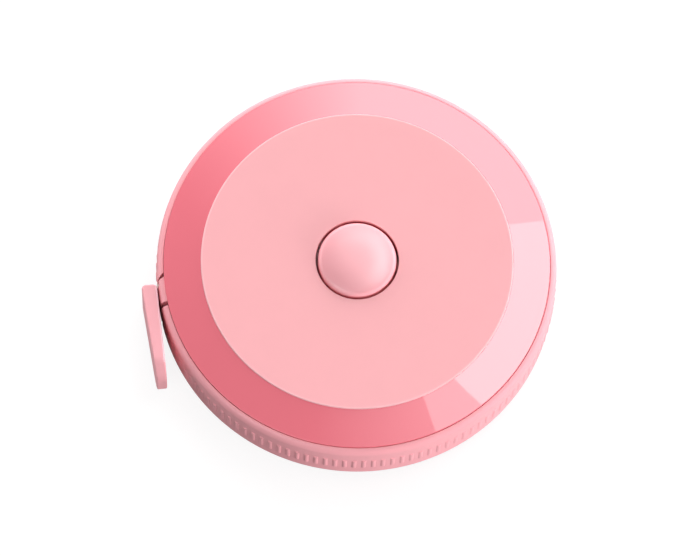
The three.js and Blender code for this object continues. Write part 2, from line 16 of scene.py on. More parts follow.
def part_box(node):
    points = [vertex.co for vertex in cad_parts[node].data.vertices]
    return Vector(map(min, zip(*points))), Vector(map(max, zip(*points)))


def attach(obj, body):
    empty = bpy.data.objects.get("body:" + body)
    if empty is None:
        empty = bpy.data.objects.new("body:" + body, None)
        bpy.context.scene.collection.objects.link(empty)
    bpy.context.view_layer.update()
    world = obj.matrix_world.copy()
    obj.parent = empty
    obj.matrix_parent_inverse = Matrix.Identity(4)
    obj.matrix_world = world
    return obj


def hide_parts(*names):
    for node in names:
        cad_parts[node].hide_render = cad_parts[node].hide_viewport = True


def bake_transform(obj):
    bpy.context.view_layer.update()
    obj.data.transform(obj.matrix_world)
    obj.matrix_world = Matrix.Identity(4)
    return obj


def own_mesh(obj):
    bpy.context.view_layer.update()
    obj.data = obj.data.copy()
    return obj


bl_info = {
    "name": "Round tape measure",
    "version": (1, 0, 0),
    "blender": (4, 5, 0),
    "location": "View3D > Sidebar > Tape Measure",
    "description": "Models a round push-button tape measure on its packed frame",
    "category": "Object",
}

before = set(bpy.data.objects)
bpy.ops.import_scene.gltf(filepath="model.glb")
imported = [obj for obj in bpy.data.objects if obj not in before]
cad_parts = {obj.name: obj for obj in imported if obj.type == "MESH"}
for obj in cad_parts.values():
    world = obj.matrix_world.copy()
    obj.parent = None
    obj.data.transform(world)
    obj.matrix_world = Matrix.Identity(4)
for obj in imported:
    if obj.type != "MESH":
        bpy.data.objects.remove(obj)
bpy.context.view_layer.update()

MM = 0.001
FULL_TURN = 2 * math.pi
QUARTER_TURN = math.pi / 2

# Shaping: distances in millimetres, angles in radians.
MERGE_DISTANCE = 1e-4
MOUTH_MARGIN = 1e-4
SPLIT_GAP = 0.001
SMOOTH_ANGLE = math.radians(35)
SHARP_ANGLE = math.radians(40)
SAME_DIRECTION = 0.9
KEY_ROUND_SHARE = 0.2
KEY_ROUND_STEPS = 2
SMOOTH_PITCHES = 2

# Finishes: sizes and depths of the grain in millimetres, roughness, from and to where it varies, and gloss as
# an index of refraction.
BAND_GRAIN = {"roughness": 0.42, "spots": 0.12, "spot_depth": 0.004, "gloss": 1.65}
BUTTON_GRAIN = {"roughness": 0.34, "spots": 0.12, "spot_depth": 0.003, "gloss": 1.95}
TAB_GRAIN = {"roughness": 0.38, "spots": 0.12, "spot_depth": 0.003}
# The tab edge's painted highlight is a lighter copy of the tab plastic, with this finish.
HIGHLIGHT_EDGE_GRAIN = {"roughness": 0.3, "spots": 0.12, "spot_depth": 0.002}
REEL_GRAIN = {"roughness": 0.5, "spots": 0.2, "spot_depth": 0.004}
RUBBER_GRAIN = {"roughness": 0.8, "spots": 0.1, "spot_depth": 0.01, "mottle": 0.2}
# How much lighter the painted highlight on the tab's edge is than the tab.
HIGHLIGHT_TINT = 1.4
GRAIN_SPAN = (0.3, 0.7)
GRAIN_DETAIL = 3.0
MOULDED = SimpleNamespace(cloud_size=4.0, sheen=0.04)
POLISHED = SimpleNamespace(
    flow_size=9.0, flow_depth=0.002, mottle=0.02, gloss=1.88,
    scuff_size=0.5, scuff_detail=4.0, scuff_span=(0.45, 0.8), roughness=(0.012, 0.035),
)
# The inlay's rim fields set a painted highlight: a lighter ring of colour along the rim.
MATTE = SimpleNamespace(
    cloud_size=3.0, mottle=0.015, grain_size=0.14, grain_depth=0.006, roughness=(0.62, 0.72),
    rim_start=0.3, rim_full=0.05, rim_tint=1.3,
)
CLOTH = SimpleNamespace(
    cloud_size=2.0, darker=0.96, lighter=1.03, threads=0.55,
    weave_depth=0.02, weave_strength=0.6, roughness=(0.42, 0.55),
)
STEEL = SimpleNamespace(
    stretch=(1, 1, 0.08), line_size=0.06, line_depth=0.003, mottle=0.15, roughness=(0.25, 0.42),
)
# Marks on the tape: spacing and width in millimetres, and reach as a share of the tape's width.
TAPE_MARKS = ((1, 0.14, 0.22), (5, 0.18, 0.34), (10, 0.24, 0.55))

# Stage: picture in pixels, sensor in millimetres, floor in metres, and heights on a sphere of radius one.
PHOTO_WIDTH = 700
SENSOR_WIDTH = 36
FLOOR_SIZE = 20
FLOOR_DROP = 0.02 * MM
BACKDROP_TOP = 0.6
BACKDROP_FULL = 0.4
LEAST_RISE = 0.05
# Low lamps: power in watts, bearing and rise in degrees, width and height in metres.
LAMPS = {
    "Right lamp": {"power": 160, "bearing": -32, "rise": 6, "width": 2.7, "height": 0.8},
    "Back lamp": {"power": 350, "bearing": 72, "rise": 14, "width": 9.6, "height": 1.8},
    "Left lamp": {"power": 64, "bearing": 158, "rise": 12, "width": 2.4, "height": 1.3},
}

inlay_low, inlay_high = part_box("front_face_disc")
button_low, button_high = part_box("button")
tape_low, tape_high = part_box("tape_lead")
tab_low, tab_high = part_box("pull_tab")
strip_low, strip_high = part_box("mainspring")
wire_low, wire_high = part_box("button_spring")


def length(name, description, default):
    """A length property in metres."""
    return FloatProperty(name=name, description=description, default=default, unit="LENGTH", precision=5)


def angle(name, description, degrees):
    """An angle property, given in degrees."""
    return FloatProperty(name=name, description=description, default=math.radians(degrees), subtype="ANGLE")


def count(name, description, default):
    """A whole number of steps or copies."""
    return IntProperty(name=name, description=description, default=default, min=1)


def amount(name, description, default):
    """A plain number."""
    return FloatProperty(name=name, description=description, default=default, precision=4)


def colour(name, description, default):
    """A linear colour."""
    return FloatVectorProperty(name=name, description=description, default=default, subtype="COLOR", size=3)


def area(name, description, limits):
    """A panel's limits: least and most X, then least and most Y, on a plane one unit up."""
    return FloatVectorProperty(name=name, description=description, default=limits, size=4)


class CaseSizes(PropertyGroup):
    """Side band and the heights of the case."""

    thickness: length("Thickness", "From the back inlay to the front inlay", inlay_high.z)
    wall_radius: length("Wall radius", "Outer radius of the side band", 25 * MM)
    band_wall: length("Band wall", "Thickness of the side band", 2.1 * MM)
    shoulder_width: length("Shoulder width", "How far the rounded shoulder draws in", 0.8 * MM)
    shoulder_height: length("Shoulder height", "Height of the rounded shoulder", 1.25 * MM)
    seam_gap: length("Seam gap", "Gap between a lid and the band", 0.045 * MM)
    seam_depth: length("Seam depth", "From the inlay's face down to the seam", 0.95 * MM)
    lip_drop: length("Lip drop", "How far the band's lip lies below the lid's edge", 0.18 * MM)
    ledge_depth: length("Ledge depth", "From the seam down to the lid's ledge", 1.05 * MM)
    lip_round: length("Lip round", "Rounding of the band's lip at the seam", 0.05 * MM)


class RibSizes(PropertyGroup):
    """Upright ribs round the side band."""

    pitch: length("Pitch", "Distance from rib to rib", 1.2 * MM)
    height: length("Height", "How far a rib stands out", 0.1 * MM)
    crown: length("Crown", "Extra height along a rib's middle", 0.03 * MM)
    slope: length("Slope", "Width of a rib's sloping flank", 0.13 * MM)
    span: length("Span", "Length of a rib", 2.7 * MM)


class LidSizes(PropertyGroup):
    """Lids with their bevel, seat, posts and mouth block."""

    floor: length("Floor", "Thickness of the lid under its inlay", 0.9 * MM)
    edge_round: length("Edge round", "Rounding of the bevel's outer edge", 0.06 * MM)
    recess_round: length("Recess round", "Rounding where the bevel meets the inlay", 0.02 * MM)
    recess_fit: length("Recess fit", "Gap round the inlay", 0.01 * MM)
    inlay_proud: length("Inlay proud", "How far the inlay stands above the bevel", 0.12 * MM)
    spigot_wall: length("Spigot wall", "Thickness of the ring inside the band", 0.7 * MM)
    spigot_fit: length("Spigot fit", "Gap between that ring and the band", 0.2 * MM)
    spigot_depth: length("Spigot depth", "Depth of that ring", 1.4 * MM)
    seat_clear: length("Seat clear", "From the band's start to the start of the seat", 3 * MM)
    collar_wall: length("Collar wall", "Thickness of the button's guide collar", 0.9 * MM)
    collar_depth: length("Collar depth", "Depth of the button's guide collar", 0.8 * MM)
    post_radius: length("Post radius", "Radius of the press posts", 1.5 * MM)
    post_bore: length("Post bore", "Radius of the hole in a front press post", 0.91 * MM)
    pin_radius: length("Pin radius", "Radius of the pin on a back press post", 0.85 * MM)
    pin_length: length("Pin length", "Length of that pin", 2.5 * MM)
    post_circle: length("Post circle", "Radius at which the posts stand", 20 * MM)
    arbor_radius: length("Arbor radius", "Radius of the fixed arbor", 3 * MM)
    arbor_top: length("Arbor top", "Height of the step that carries the button's spring", 6 * MM)
    guide_radius: length("Guide radius", "Radius of the arbor's stem inside that spring", 1.5 * MM)
    guide_top: length("Guide top", "Height of that stem", 7.65 * MM)
    overlap: length("Overlap", "How far joined shells run into each other", 0.03 * MM)


class MouthSizes(PropertyGroup):
    """Slanted mouth of the case and its block."""

    tape_line: length("Tape line", "Distance of the tape's straight run from the axis", 17.4 * MM)
    slot_play: length("Slot play", "Gap between the tape and the band's end", 0.3 * MM)
    block_play: length("Block play", "Gap between the tape and the block", 0.05 * MM)
    block_width: length("Block width", "Width of the mouth block round the wall", 1.85 * MM)
    block_gap: length("Block gap", "Gap between the block and the band's start", 0.58 * MM)
    block_inside: length("Block inside", "Radius at which the block ends inside", 22.4 * MM)
    lip_height: length("Lip height", "Height of the block's lip over the tape", 0.65 * MM)
    lip_gap: length("Lip gap", "Gap between that lip and the band's end", 0.62 * MM)
    lip_turn: angle("Lip turn", "Angle between the lip's edge and the tape", 18.4)


class FaceSizes(PropertyGroup):
    """Inlay discs."""

    radius: length("Radius", "Radius of an inlay", inlay_high.x)
    thickness: length("Thickness", "Thickness of an inlay", inlay_high.z - inlay_low.z)
    edge_round: length("Edge round", "Rounding of an inlay's rim", 0.15 * MM)
    hole_round: length("Hole round", "Rounding of the button's hole", 0.06 * MM)


class ButtonSizes(PropertyGroup):
    """Push button with its skirt and brake flange."""

    radius: length("Radius", "Radius of the cap", 4.9 * MM)
    gap: length("Gap", "Gap round the cap", 0.3 * MM)
    sink: length("Sink", "From the inlay's face down to the dome's foot", 0.3 * MM)
    edge_round: length("Edge round", "Rounding of the cap's edge", 0.85 * MM)
    edge_turn: angle("Edge turn", "How far the rounded edge turns before it passes into the dome", 72)
    top: length("Top", "Height of the dome's top", button_high.z - 0.01 * MM)
    ceiling: length("Ceiling", "Height of the hollow's ceiling", 9.45 * MM)
    bore: length("Bore", "Radius of the hollow", 3.6 * MM)
    flange_radius: length("Flange radius", "Radius of the brake flange", button_high.x)
    flange_bottom: length("Flange bottom", "Height of the flange's lower face", button_low.z)
    flange_thickness: length("Flange thickness", "Thickness of the flange", 0.7 * MM)
    key_width: length("Key width", "Width of a guide key", 1.2 * MM)
    key_height: length("Key height", "How far a key stands out", 0.25 * MM)
    key_top: length("Key top", "Height of a key's upper end", 8.9 * MM)


class SpringSizes(PropertyGroup):
    """Flat mainspring in the drum, and the wire spring under the button."""

    strip: length("Strip", "Thickness of the mainspring's strip", 0.2 * MM)
    bottom: length("Bottom", "Height of the strip's lower edge", strip_low.z)
    top: length("Top", "Height of the strip's upper edge", strip_high.z)
    pitch: length("Pitch", "Distance from turn to turn", 0.64 * MM)
    tang: length("Tang", "Radius at which the strip's inner end sits in the arbor", 1.8 * MM)
    inner: length("Inner radius", "Inside radius of the first turn", 3.3 * MM)
    split: length("Split", "Inside radius from which the turns go round with the reel", 7.1 * MM)
    outer: length("Outer radius", "Inside radius of the last turn", 7.9 * MM)
    hook: length("Hook", "Radius at which the strip's outer end sits in the drum", 8.7 * MM)
    hook_turn: angle("Hook turn", "Angle at which the outer end enters the drum", 135.27)
    wire: length("Wire", "Diameter of the wire", 0.35 * MM)
    wire_radius: length("Wire radius", "Radius of the wire's turns", 2.25 * MM)
    wire_pitch: length("Wire pitch", "Rise of the wire in one turn", 0.8 * MM)
    wire_bottom: length("Wire bottom", "Height of the wire's lower end", wire_low.z)
    wire_top: length("Wire top", "Height of the wire's upper end", wire_high.z)


class TabSizes(PropertyGroup):
    """Pull tab on the tape's end."""

    long: length("Length", "Length of the tab along the wall", 12.1 * MM)
    height: length("Height", "Height of the tab", tab_high.z - tab_low.z)
    head_thickness: length("Head thickness", "Thickness at the tape", 1.95 * MM)
    end_thickness: length("End thickness", "Thickness at the free end", 1.25 * MM)
    head_round: length("Head round", "Rounding of the head in plan", 0.5 * MM)
    end_round: length("End round", "Rounding of the free corners", 2.6 * MM)
    inner_round: length("Inner round", "Rounding of the edges that face the wall", 0.2 * MM)
    edge_round: length("Edge round", "Rounding of all other edges", 0.16 * MM)
    standoff: length("Standoff", "Gap between the tab and the wall", 0.12 * MM)
    overhang: length("Overhang", "How far the head reaches past the tape", 0.65 * MM)
    offset: length("Offset", "Place of the tab past the mouth", 0.5 * MM)
    swing: angle("Swing", "How far the free end stands out from the wall", 1.2)


class TapeSizes(PropertyGroup):
    """Straight end of the tape."""

    thickness: length("Thickness", "Thickness of the tape", 0.3 * MM)
    bottom: length("Bottom", "Height of the tape's lower edge", tape_low.z)
    top: length("Top", "Height of the tape's upper edge", tape_high.z)
    seat: length("Seat", "How far the tape runs into the tab", 1.2 * MM)
    free_run: length("Free run", "Stretch at the mouth that pays out", 4 * MM)
    end_cut: length("End cut", "How much each edge is cut back where the tape enters the tab", 0.5 * MM)
    end_taper: length("End taper", "Stretch over which the edges are cut back", 2 * MM)


class Directions(PropertyGroup):
    """Angles round the case, counted from +X towards +Y."""

    exit_heading: angle("Exit heading", "Direction in which the tape leaves", 235)
    first_post: angle("First post", "Angle of one press post", 45)
    second_post: angle("Second post", "Angle of one press post", 105)
    third_post: angle("Third post", "Angle of one press post", 225)
    fourth_post: angle("Fourth post", "Angle of one press post", 315)


class Steps(PropertyGroup):
    """Steps in round shapes."""

    turn: count("Turn", "Steps round a lid or inlay", 240)
    hub: count("Hub", "Steps round the button", 120)
    post: count("Post", "Steps round a press post", 32)
    rib: count("Rib", "Columns of the band in one rib pitch", 4)
    corner: count("Corner", "Steps in a rounded corner", 3)
    shoulder: count("Shoulder", "Steps in a shoulder", 12)
    dome: count("Dome", "Steps over the button's dome", 18)
    tab: count("Tab", "Steps in the tab's large corners", 10)
    tape: count("Tape", "Steps along the tape", 40)
    winding: count("Winding", "Steps in one turn of a spring", 48)
    wire: count("Wire", "Sides of the spring wire", 10)
    keys: count("Keys", "Guide keys on the button", 3)


class Finishes(PropertyGroup):
    """Colours of the materials."""

    band: colour("Band", "Satin plastic of the side band", (0.950, 0.395, 0.440))
    lid: colour("Lid", "Polished plastic of the lids", (0.905, 0.200, 0.252))
    inlay: colour("Inlay", "Matte plastic of the inlays", (0.915, 0.432, 0.458))
    cap: colour("Button", "Satin plastic of the button", (0.950, 0.415, 0.455))
    tab: colour("Tab", "Satin plastic of the tab", (0.950, 0.430, 0.475))
    tape: colour("Tape", "Coated cloth of the tape", (0.880, 0.850, 0.780))
    ink: colour("Ink", "Printed marks on the tape", (0.020, 0.020, 0.022))
    reel: colour("Reel", "Uncoloured plastic of the reel", (0.800, 0.770, 0.740))
    steel: colour("Steel", "Spring steel", (0.500, 0.510, 0.530))
    rubber: colour("Rubber", "Brake ring", (0.030, 0.028, 0.027))


class StageSettings(PropertyGroup):
    """Camera, lamps and floor."""

    tilt: angle("Tilt", "Tilt of the view from straight above", 19.41)
    roll: angle("Roll", "Roll of the picture", -4.32)
    distance: length("Distance", "From the case to the camera", 0.6)
    focal_pixels: amount("Focal length", "Focal length in pixels of the picture", 4776)
    aim_x: length("Aim X", "Sideways place of the picture's centre", -0.73 * MM)
    aim_y: length("Aim Y", "Upward place of the picture's centre", -0.60 * MM)
    right_panel: amount("Right panel", "Brightness of the panel at the right", 4.85)
    right_area: area("Right area", "Limits of the panel at the right", (0.20, 0.53, 0.062, 0.536))
    back_panel: amount("Back panel", "Brightness of the panel behind", 3.35)
    back_area: area("Back area", "Limits of the panel behind", (-0.02, 0.53, 0.536, 1.10))
    back_fade: area("Back fade", "Limits of that panel's fading end", (-0.41, -0.02, 0.42, 1.10))
    front_panel: amount("Front panel", "Brightness of the panel's lower strip", 2.65)
    front_area: area("Front area", "Limits of the panel's lower strip", (0.186, 0.53, -0.10, 0.062))
    front_fade: area("Front fade", "Limits of that strip's fading end", (-0.065, 0.186, -0.2, 0.1))
    front_share: amount("Front share", "Share of its brightness to which that end rises", 0.43)
    left_panel: amount("Left panel", "Brightness of the panel at the front left", 2.6)
    left_area: area("Left area", "Limits of the panel at the front left", (-1.2, -0.25, -1.5, -0.45))
    panel_edge: amount("Panel edge", "Softness of the panels' edges", 0.002)
    fade_edge: amount("Fade edge", "Softness along a fading end", 0.08)
    fill: amount("Fill", "Brightness of the room", 0.10)
    backdrop: amount("Backdrop", "Brightness of the white backdrop in reflections", 1.0)
    lamp_distance: length("Lamp distance", "From the object to each low lamp", 4.0)
    floor_bounce: amount("Floor bounce", "How much light the floor gives back", 0.27)
    floor_grey: amount("Floor grey", "How dark a shadow on the floor looks", 0.2)
    floor_white: amount("Floor white", "How white the floor looks in shadow", 0.86)
    floor_near: amount("Floor near", "Share of that white in reflections of the shadow", 0.12)
    floor_far: amount("Floor far", "Share of that white in reflections of the open floor", 0.65)
    shadow_x: length("Shadow X", "Sideways place of the shadow's middle", -0.018)
    shadow_y: length("Shadow Y", "Upward place of the shadow's middle", -0.010)
    shadow_reach: length("Shadow reach", "Radius of the full shadow", 0.018)
    open_reach: length("Open reach", "Radius at which the shadow has ended", 0.040)


class TapeMeasureSettings(PropertyGroup):
    """All settings of the tape measure."""

    case: PointerProperty(type=CaseSizes)
    ribs: PointerProperty(type=RibSizes)
    lid: PointerProperty(type=LidSizes)
    mouth: PointerProperty(type=MouthSizes)
    face: PointerProperty(type=FaceSizes)
    button: PointerProperty(type=ButtonSizes)
    spring: PointerProperty(type=SpringSizes)
    tab: PointerProperty(type=TabSizes)
    tape: PointerProperty(type=TapeSizes)
    directions: PointerProperty(type=Directions)
    steps: PointerProperty(type=Steps)
    finishes: PointerProperty(type=Finishes)
    stage: PointerProperty(type=StageSettings)


def settings():
    """The scene's settings."""
    return bpy.context.scene.tape_measure


def in_mm(group):
    """A group's values, with its lengths in millimetres, the unit that the meshes are shaped in."""
    values = SimpleNamespace()
    for name in group.__annotations__:
        unit = MM if group.bl_rna.properties[name].unit == "LENGTH" else 1
        setattr(values, name, getattr(group, name) / unit)
    return values


def heights_and_radii():
    """Levels and radii that several pieces share, in millimetres."""
    case = in_mm(settings().case)
    lid = in_mm(settings().lid)
    face = in_mm(settings().face)
    button = in_mm(settings().button)
    place = SimpleNamespace()
    place.middle = case.thickness / 2
    place.seam = case.thickness - case.seam_depth
    place.ledge = place.seam - case.ledge_depth
    place.shoulder = place.seam - case.shoulder_height
    place.lip_top = place.seam - case.lip_drop
    place.shoulder_rise = place.lip_top - place.shoulder
    place.seat = case.thickness - face.thickness
    place.inside = place.seat - lid.floor
    place.band_inside = case.wall_radius - case.band_wall
    place.lip = case.wall_radius - case.shoulder_width
    place.lid_radius = place.lip - case.seam_gap
    place.recess = face.radius + lid.recess_fit
    place.recess_top = case.thickness - lid.inlay_proud
    place.hole = button.radius + button.gap
    return place


def mouth_angles():
    """Angles and directions of the slanted mouth."""
    mouth = in_mm(settings().mouth)
    wall = settings().case.wall_radius / MM
    half_tape = settings().tape.thickness / MM / 2
    heading = settings().directions.exit_heading
    place = SimpleNamespace()
    place.contact = heading - QUARTER_TURN
    place.along = polar(1, heading)
    place.across = polar(1, place.contact)
    place.slot_half = half_tape + mouth.slot_play
    place.block_half = half_tape + mouth.block_play
    place.mouth = place.contact + math.acos(mouth.tape_line / wall)
    block_start = place.contact + math.acos((mouth.tape_line - place.slot_half) / wall)
    place.block_end = block_start + mouth.block_width / wall
    place.band_start = place.block_end + mouth.block_gap / wall
    return place


def polar(radius, turn, height=0.0):
    """A point at a radius and an angle round the axis."""
    return Vector((radius * math.cos(turn), radius * math.sin(turn), height))


def arc(centre, half_width, half_height, first, last, steps):
    """Points of an elliptical arc as (radius, height)."""
    turns = [first + (last - first) * i / steps for i in range(steps + 1)]
    return [(centre[0] + half_width * math.cos(t), centre[1] + half_height * math.sin(t)) for t in turns]


def section(outline, rounds=()):
    """A flat section in the XZ plane from (radius, height) corners, some of them rounded."""
    bm = bmesh.new()
    bm.faces.new([bm.verts.new((radius, 0, height)) for radius, height in outline])
    for corner, size in rounds:
        nearest = min(bm.verts, key=lambda v: (v.co.xz - Vector(corner)).length)
        bmesh.ops.bevel(
            bm, geom=[nearest], offset=size, segments=settings().steps.corner,
            profile=0.5, affect="VERTICES", material=-1,
        )
    return bm


def turned(bm, steps, start=0.0, sweep=FULL_TURN):
    """Spin a flat section about the axis. A part turn gets flat ends."""
    whole = sweep == FULL_TURN
    bmesh.ops.rotate(bm, verts=bm.verts, cent=(0, 0, 0), matrix=Matrix.Rotation(start, 3, "Z"))
    bmesh.ops.delete(bm, geom=bm.faces, context="FACES_ONLY")
    on_axis = [e for e in bm.edges if all(v.co.xy.length < MERGE_DISTANCE for v in e.verts)]
    bmesh.ops.delete(bm, geom=on_axis, context="EDGES")
    bmesh.ops.spin(
        bm, geom=bm.verts[:] + bm.edges[:], cent=(0, 0, 0), axis=(0, 0, 1),
        angle=sweep, steps=steps, use_merge=whole,
    )
    if not whole:
        close_ends(bm)
    return settle(bm)


def close_ends(bm):
    """Fill every open boundary with a flat face."""
    bmesh.ops.holes_fill(bm, edges=[e for e in bm.edges if e.is_boundary], sides=0)


def settle(bm):
    """Merge doubled vertices and point the faces outwards."""
    bmesh.ops.remove_doubles(bm, verts=bm.verts, dist=MERGE_DISTANCE)
    bmesh.ops.recalc_face_normals(bm, faces=bm.faces)
    return bm


def round_edges(bm, edges, size, steps):
    """Round some edges."""
    bmesh.ops.bevel(
        bm, geom=edges, offset=size, segments=steps, profile=0.5, affect="EDGES", material=-1,
    )


def joined(parts):
    """One mesh from several closed shells."""
    whole = bmesh.new()
    for part in parts:
        mesh = bpy.data.meshes.new("shell")
        part.to_mesh(mesh)
        part.free()
        whole.from_mesh(mesh)
        bpy.data.meshes.remove(mesh)
    return whole


def painted(bm, index):
    """Give all faces one of the piece's material slots."""
    for face in bm.faces:
        face.material_index = index
    return bm


def trimmed(bm, point, normal):
    """Cut away what lies beyond a plane near the mouth, and close the cut."""
    place = mouth_angles()
    reach = place.band_start - place.contact - MOUTH_MARGIN

    def near_mouth(spot):
        return 0 < (math.atan2(spot.y, spot.x) - place.contact) % FULL_TURN < reach

    faces = [f for f in bm.faces if near_mouth(f.calc_center_median())]
    edges = {e for f in faces for e in f.edges}
    verts = {v for f in faces for v in f.verts}
    bmesh.ops.bisect_plane(
        bm, geom=faces + list(edges) + list(verts), dist=MERGE_DISTANCE,
        plane_co=point, plane_no=normal, clear_outer=True,
    )
    close_ends(bm)
    return settle(bm)


def open_at_mouth(bm):
    """Cut a ring off at the face of the tape's slot."""
    mouth = mouth_angles()
    line = settings().mouth.tape_line / MM
    return trimmed(bm, mouth.across * (line + mouth.slot_half), -mouth.across)


def mirrored(bm):
    """Turn a front piece into the matching back piece."""
    thickness = settings().case.thickness / MM
    flip = Matrix.Translation((0, 0, thickness)) @ Matrix.Scale(-1, 4, (0, 0, 1))
    bmesh.ops.transform(bm, matrix=flip, verts=bm.verts)
    bmesh.ops.recalc_face_normals(bm, faces=bm.faces)
    return bm


def finished(name, bm, materials):
    """A named object in metres from a mesh in millimetres, with smooth faces and crisp corners."""
    bmesh.ops.scale(bm, vec=(MM, MM, MM), verts=bm.verts)
    mesh = bpy.data.meshes.new(name)
    bm.to_mesh(mesh)
    bm.free()
    mesh.shade_smooth()
    mesh.set_sharp_from_angle(angle=SMOOTH_ANGLE)
    for material in materials:
        mesh.materials.append(material)
    piece = bpy.data.objects.new(name, mesh)
    bpy.context.scene.collection.objects.link(piece)
    weighted = piece.modifiers.new("Even shading", "WEIGHTED_NORMAL")
    weighted.keep_sharp = True
    return piece


def seated(piece, body, node):
    """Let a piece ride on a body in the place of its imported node."""
    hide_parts(node)
    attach(piece, body)


def add_node(tree, kind, values=None, **choices):
    """A shader node with its choices, its input values and its incoming links."""
    node = tree.nodes.new(kind)
    for name, value in choices.items():
        setattr(node, name, value)
    for name, value in (values or {}).items():
        if isinstance(value, bpy.types.NodeSocket):
            tree.links.new(value, node.inputs[name])
        else:
            node.inputs[name].default_value = value
    return node


def number(tree, operation, first, second=0.0):
    """The result of a sum on two numbers."""
    return add_node(tree, "ShaderNodeMath", {0: first, 1: second}, operation=operation).outputs[0]


def ramp(tree, value, low, high, start=0.0, end=1.0, shape="SMOOTHSTEP"):
    """A number that goes from start to end while the value goes from low to high."""
    values = {"Value": value, "From Min": low, "From Max": high, "To Min": start, "To Max": end}
    return add_node(tree, "ShaderNodeMapRange", values, interpolation_type=shape).outputs["Result"]


def blend_colours(tree, factor, first, second):
    """A colour between two colours."""
    values = {0: factor, 6: first, 7: second}
    return add_node(tree, "ShaderNodeMix", values, data_type="RGBA").outputs[2]


def shade(tint, share):
    """A lighter or darker colour of the same hue, opaque."""
    return (*[min(1.0, part * share) for part in tint], 1.0)


def mottled(tree, cloud, tint, spread):
    """A colour that is cloudy by a share of itself."""
    return blend_colours(tree, cloud, shade(tint, 1 - spread), shade(tint, 1 + spread))


def new_material(name):
    """A material with its tree, its shader and the piece's own coordinates."""
    material = bpy.data.materials.new(name)
    material.use_nodes = True
    tree = material.node_tree
    shader = tree.nodes["Principled BSDF"]
    place = add_node(tree, "ShaderNodeTexCoord").outputs["Object"]
    return material, tree, shader, place


def grain(tree, place, size, detail=2.0):
    """A noise whose spots are about that size, in millimetres."""
    values = {"Vector": place, "Scale": 1 / (size * MM), "Detail": detail}
    return add_node(tree, "ShaderNodeTexNoise", values).outputs["Fac"]


def raise_grain(tree, shader, height, depth, strength=1.0):
    """Bump of a given depth, in millimetres."""
    values = {"Height": height, "Distance": depth * MM, "Strength": strength}
    tree.links.new(add_node(tree, "ShaderNodeBump", values).outputs["Normal"], shader.inputs["Normal"])


def moulded_plastic(name, tint, roughness, spots, spot_depth, mottle=0.03, gloss=1.5):
    """Satin moulded plastic: fine sparked grain, faint mottling, uneven sheen."""
    material, tree, shader, place = new_material(name)
    shader.inputs["IOR"].default_value = gloss
    cloud = grain(tree, place, MOULDED.cloud_size)
    fine = grain(tree, place, spots, GRAIN_DETAIL)
    tree.links.new(mottled(tree, cloud, tint, mottle), shader.inputs["Base Color"])
    smoothest, roughest = roughness - MOULDED.sheen, roughness + MOULDED.sheen
    sheen = ramp(tree, fine, *GRAIN_SPAN, smoothest, roughest, "LINEAR")
    tree.links.new(sheen, shader.inputs["Roughness"])
    raise_grain(tree, shader, fine, spot_depth)
    return material


def polished_plastic(name, tint):
    """Polished moulded plastic: clear reflections with faint flow lines and dust-fine scuffs."""
    material, tree, shader, place = new_material(name)
    shader.inputs["IOR"].default_value = POLISHED.gloss
    flow = grain(tree, place, POLISHED.flow_size)
    tree.links.new(mottled(tree, flow, tint, POLISHED.mottle), shader.inputs["Base Color"])
    scuffs = grain(tree, place, POLISHED.scuff_size, POLISHED.scuff_detail)
    sheen = ramp(tree, scuffs, *POLISHED.scuff_span, *POLISHED.roughness)
    tree.links.new(sheen, shader.inputs["Roughness"])
    raise_grain(tree, shader, flow, POLISHED.flow_depth)
    return material


def inlay_plastic(name, tint):
    """Matte inlay: fine pebbled grain, cloudy tone and a painted highlight, a lighter colour along the rim.
    """
    material, tree, shader, place = new_material(name)
    parts = add_node(tree, "ShaderNodeSeparateXYZ", {0: place}).outputs
    flat = add_node(tree, "ShaderNodeCombineXYZ", {0: parts[0], 1: parts[1]}).outputs[0]
    reach = add_node(tree, "ShaderNodeVectorMath", {0: flat}, operation="LENGTH").outputs["Value"]
    # Painted highlight: the colour grows lighter towards the rim, standing in for light on its rounded edge.
    radius = settings().face.radius
    rim = ramp(tree, reach, radius - MATTE.rim_start * MM, radius - MATTE.rim_full * MM)
    cloud = grain(tree, place, MATTE.cloud_size)
    fine = grain(tree, place, MATTE.grain_size, GRAIN_DETAIL)
    painted_highlight = blend_colours(tree, rim, mottled(tree, cloud, tint, MATTE.mottle), shade(tint, MATTE.rim_tint))
    tree.links.new(painted_highlight, shader.inputs["Base Color"])
    sheen = ramp(tree, fine, *GRAIN_SPAN, *MATTE.roughness, "LINEAR")
    tree.links.new(sheen, shader.inputs["Roughness"])
    raise_grain(tree, shader, fine, MATTE.grain_depth)
    return material


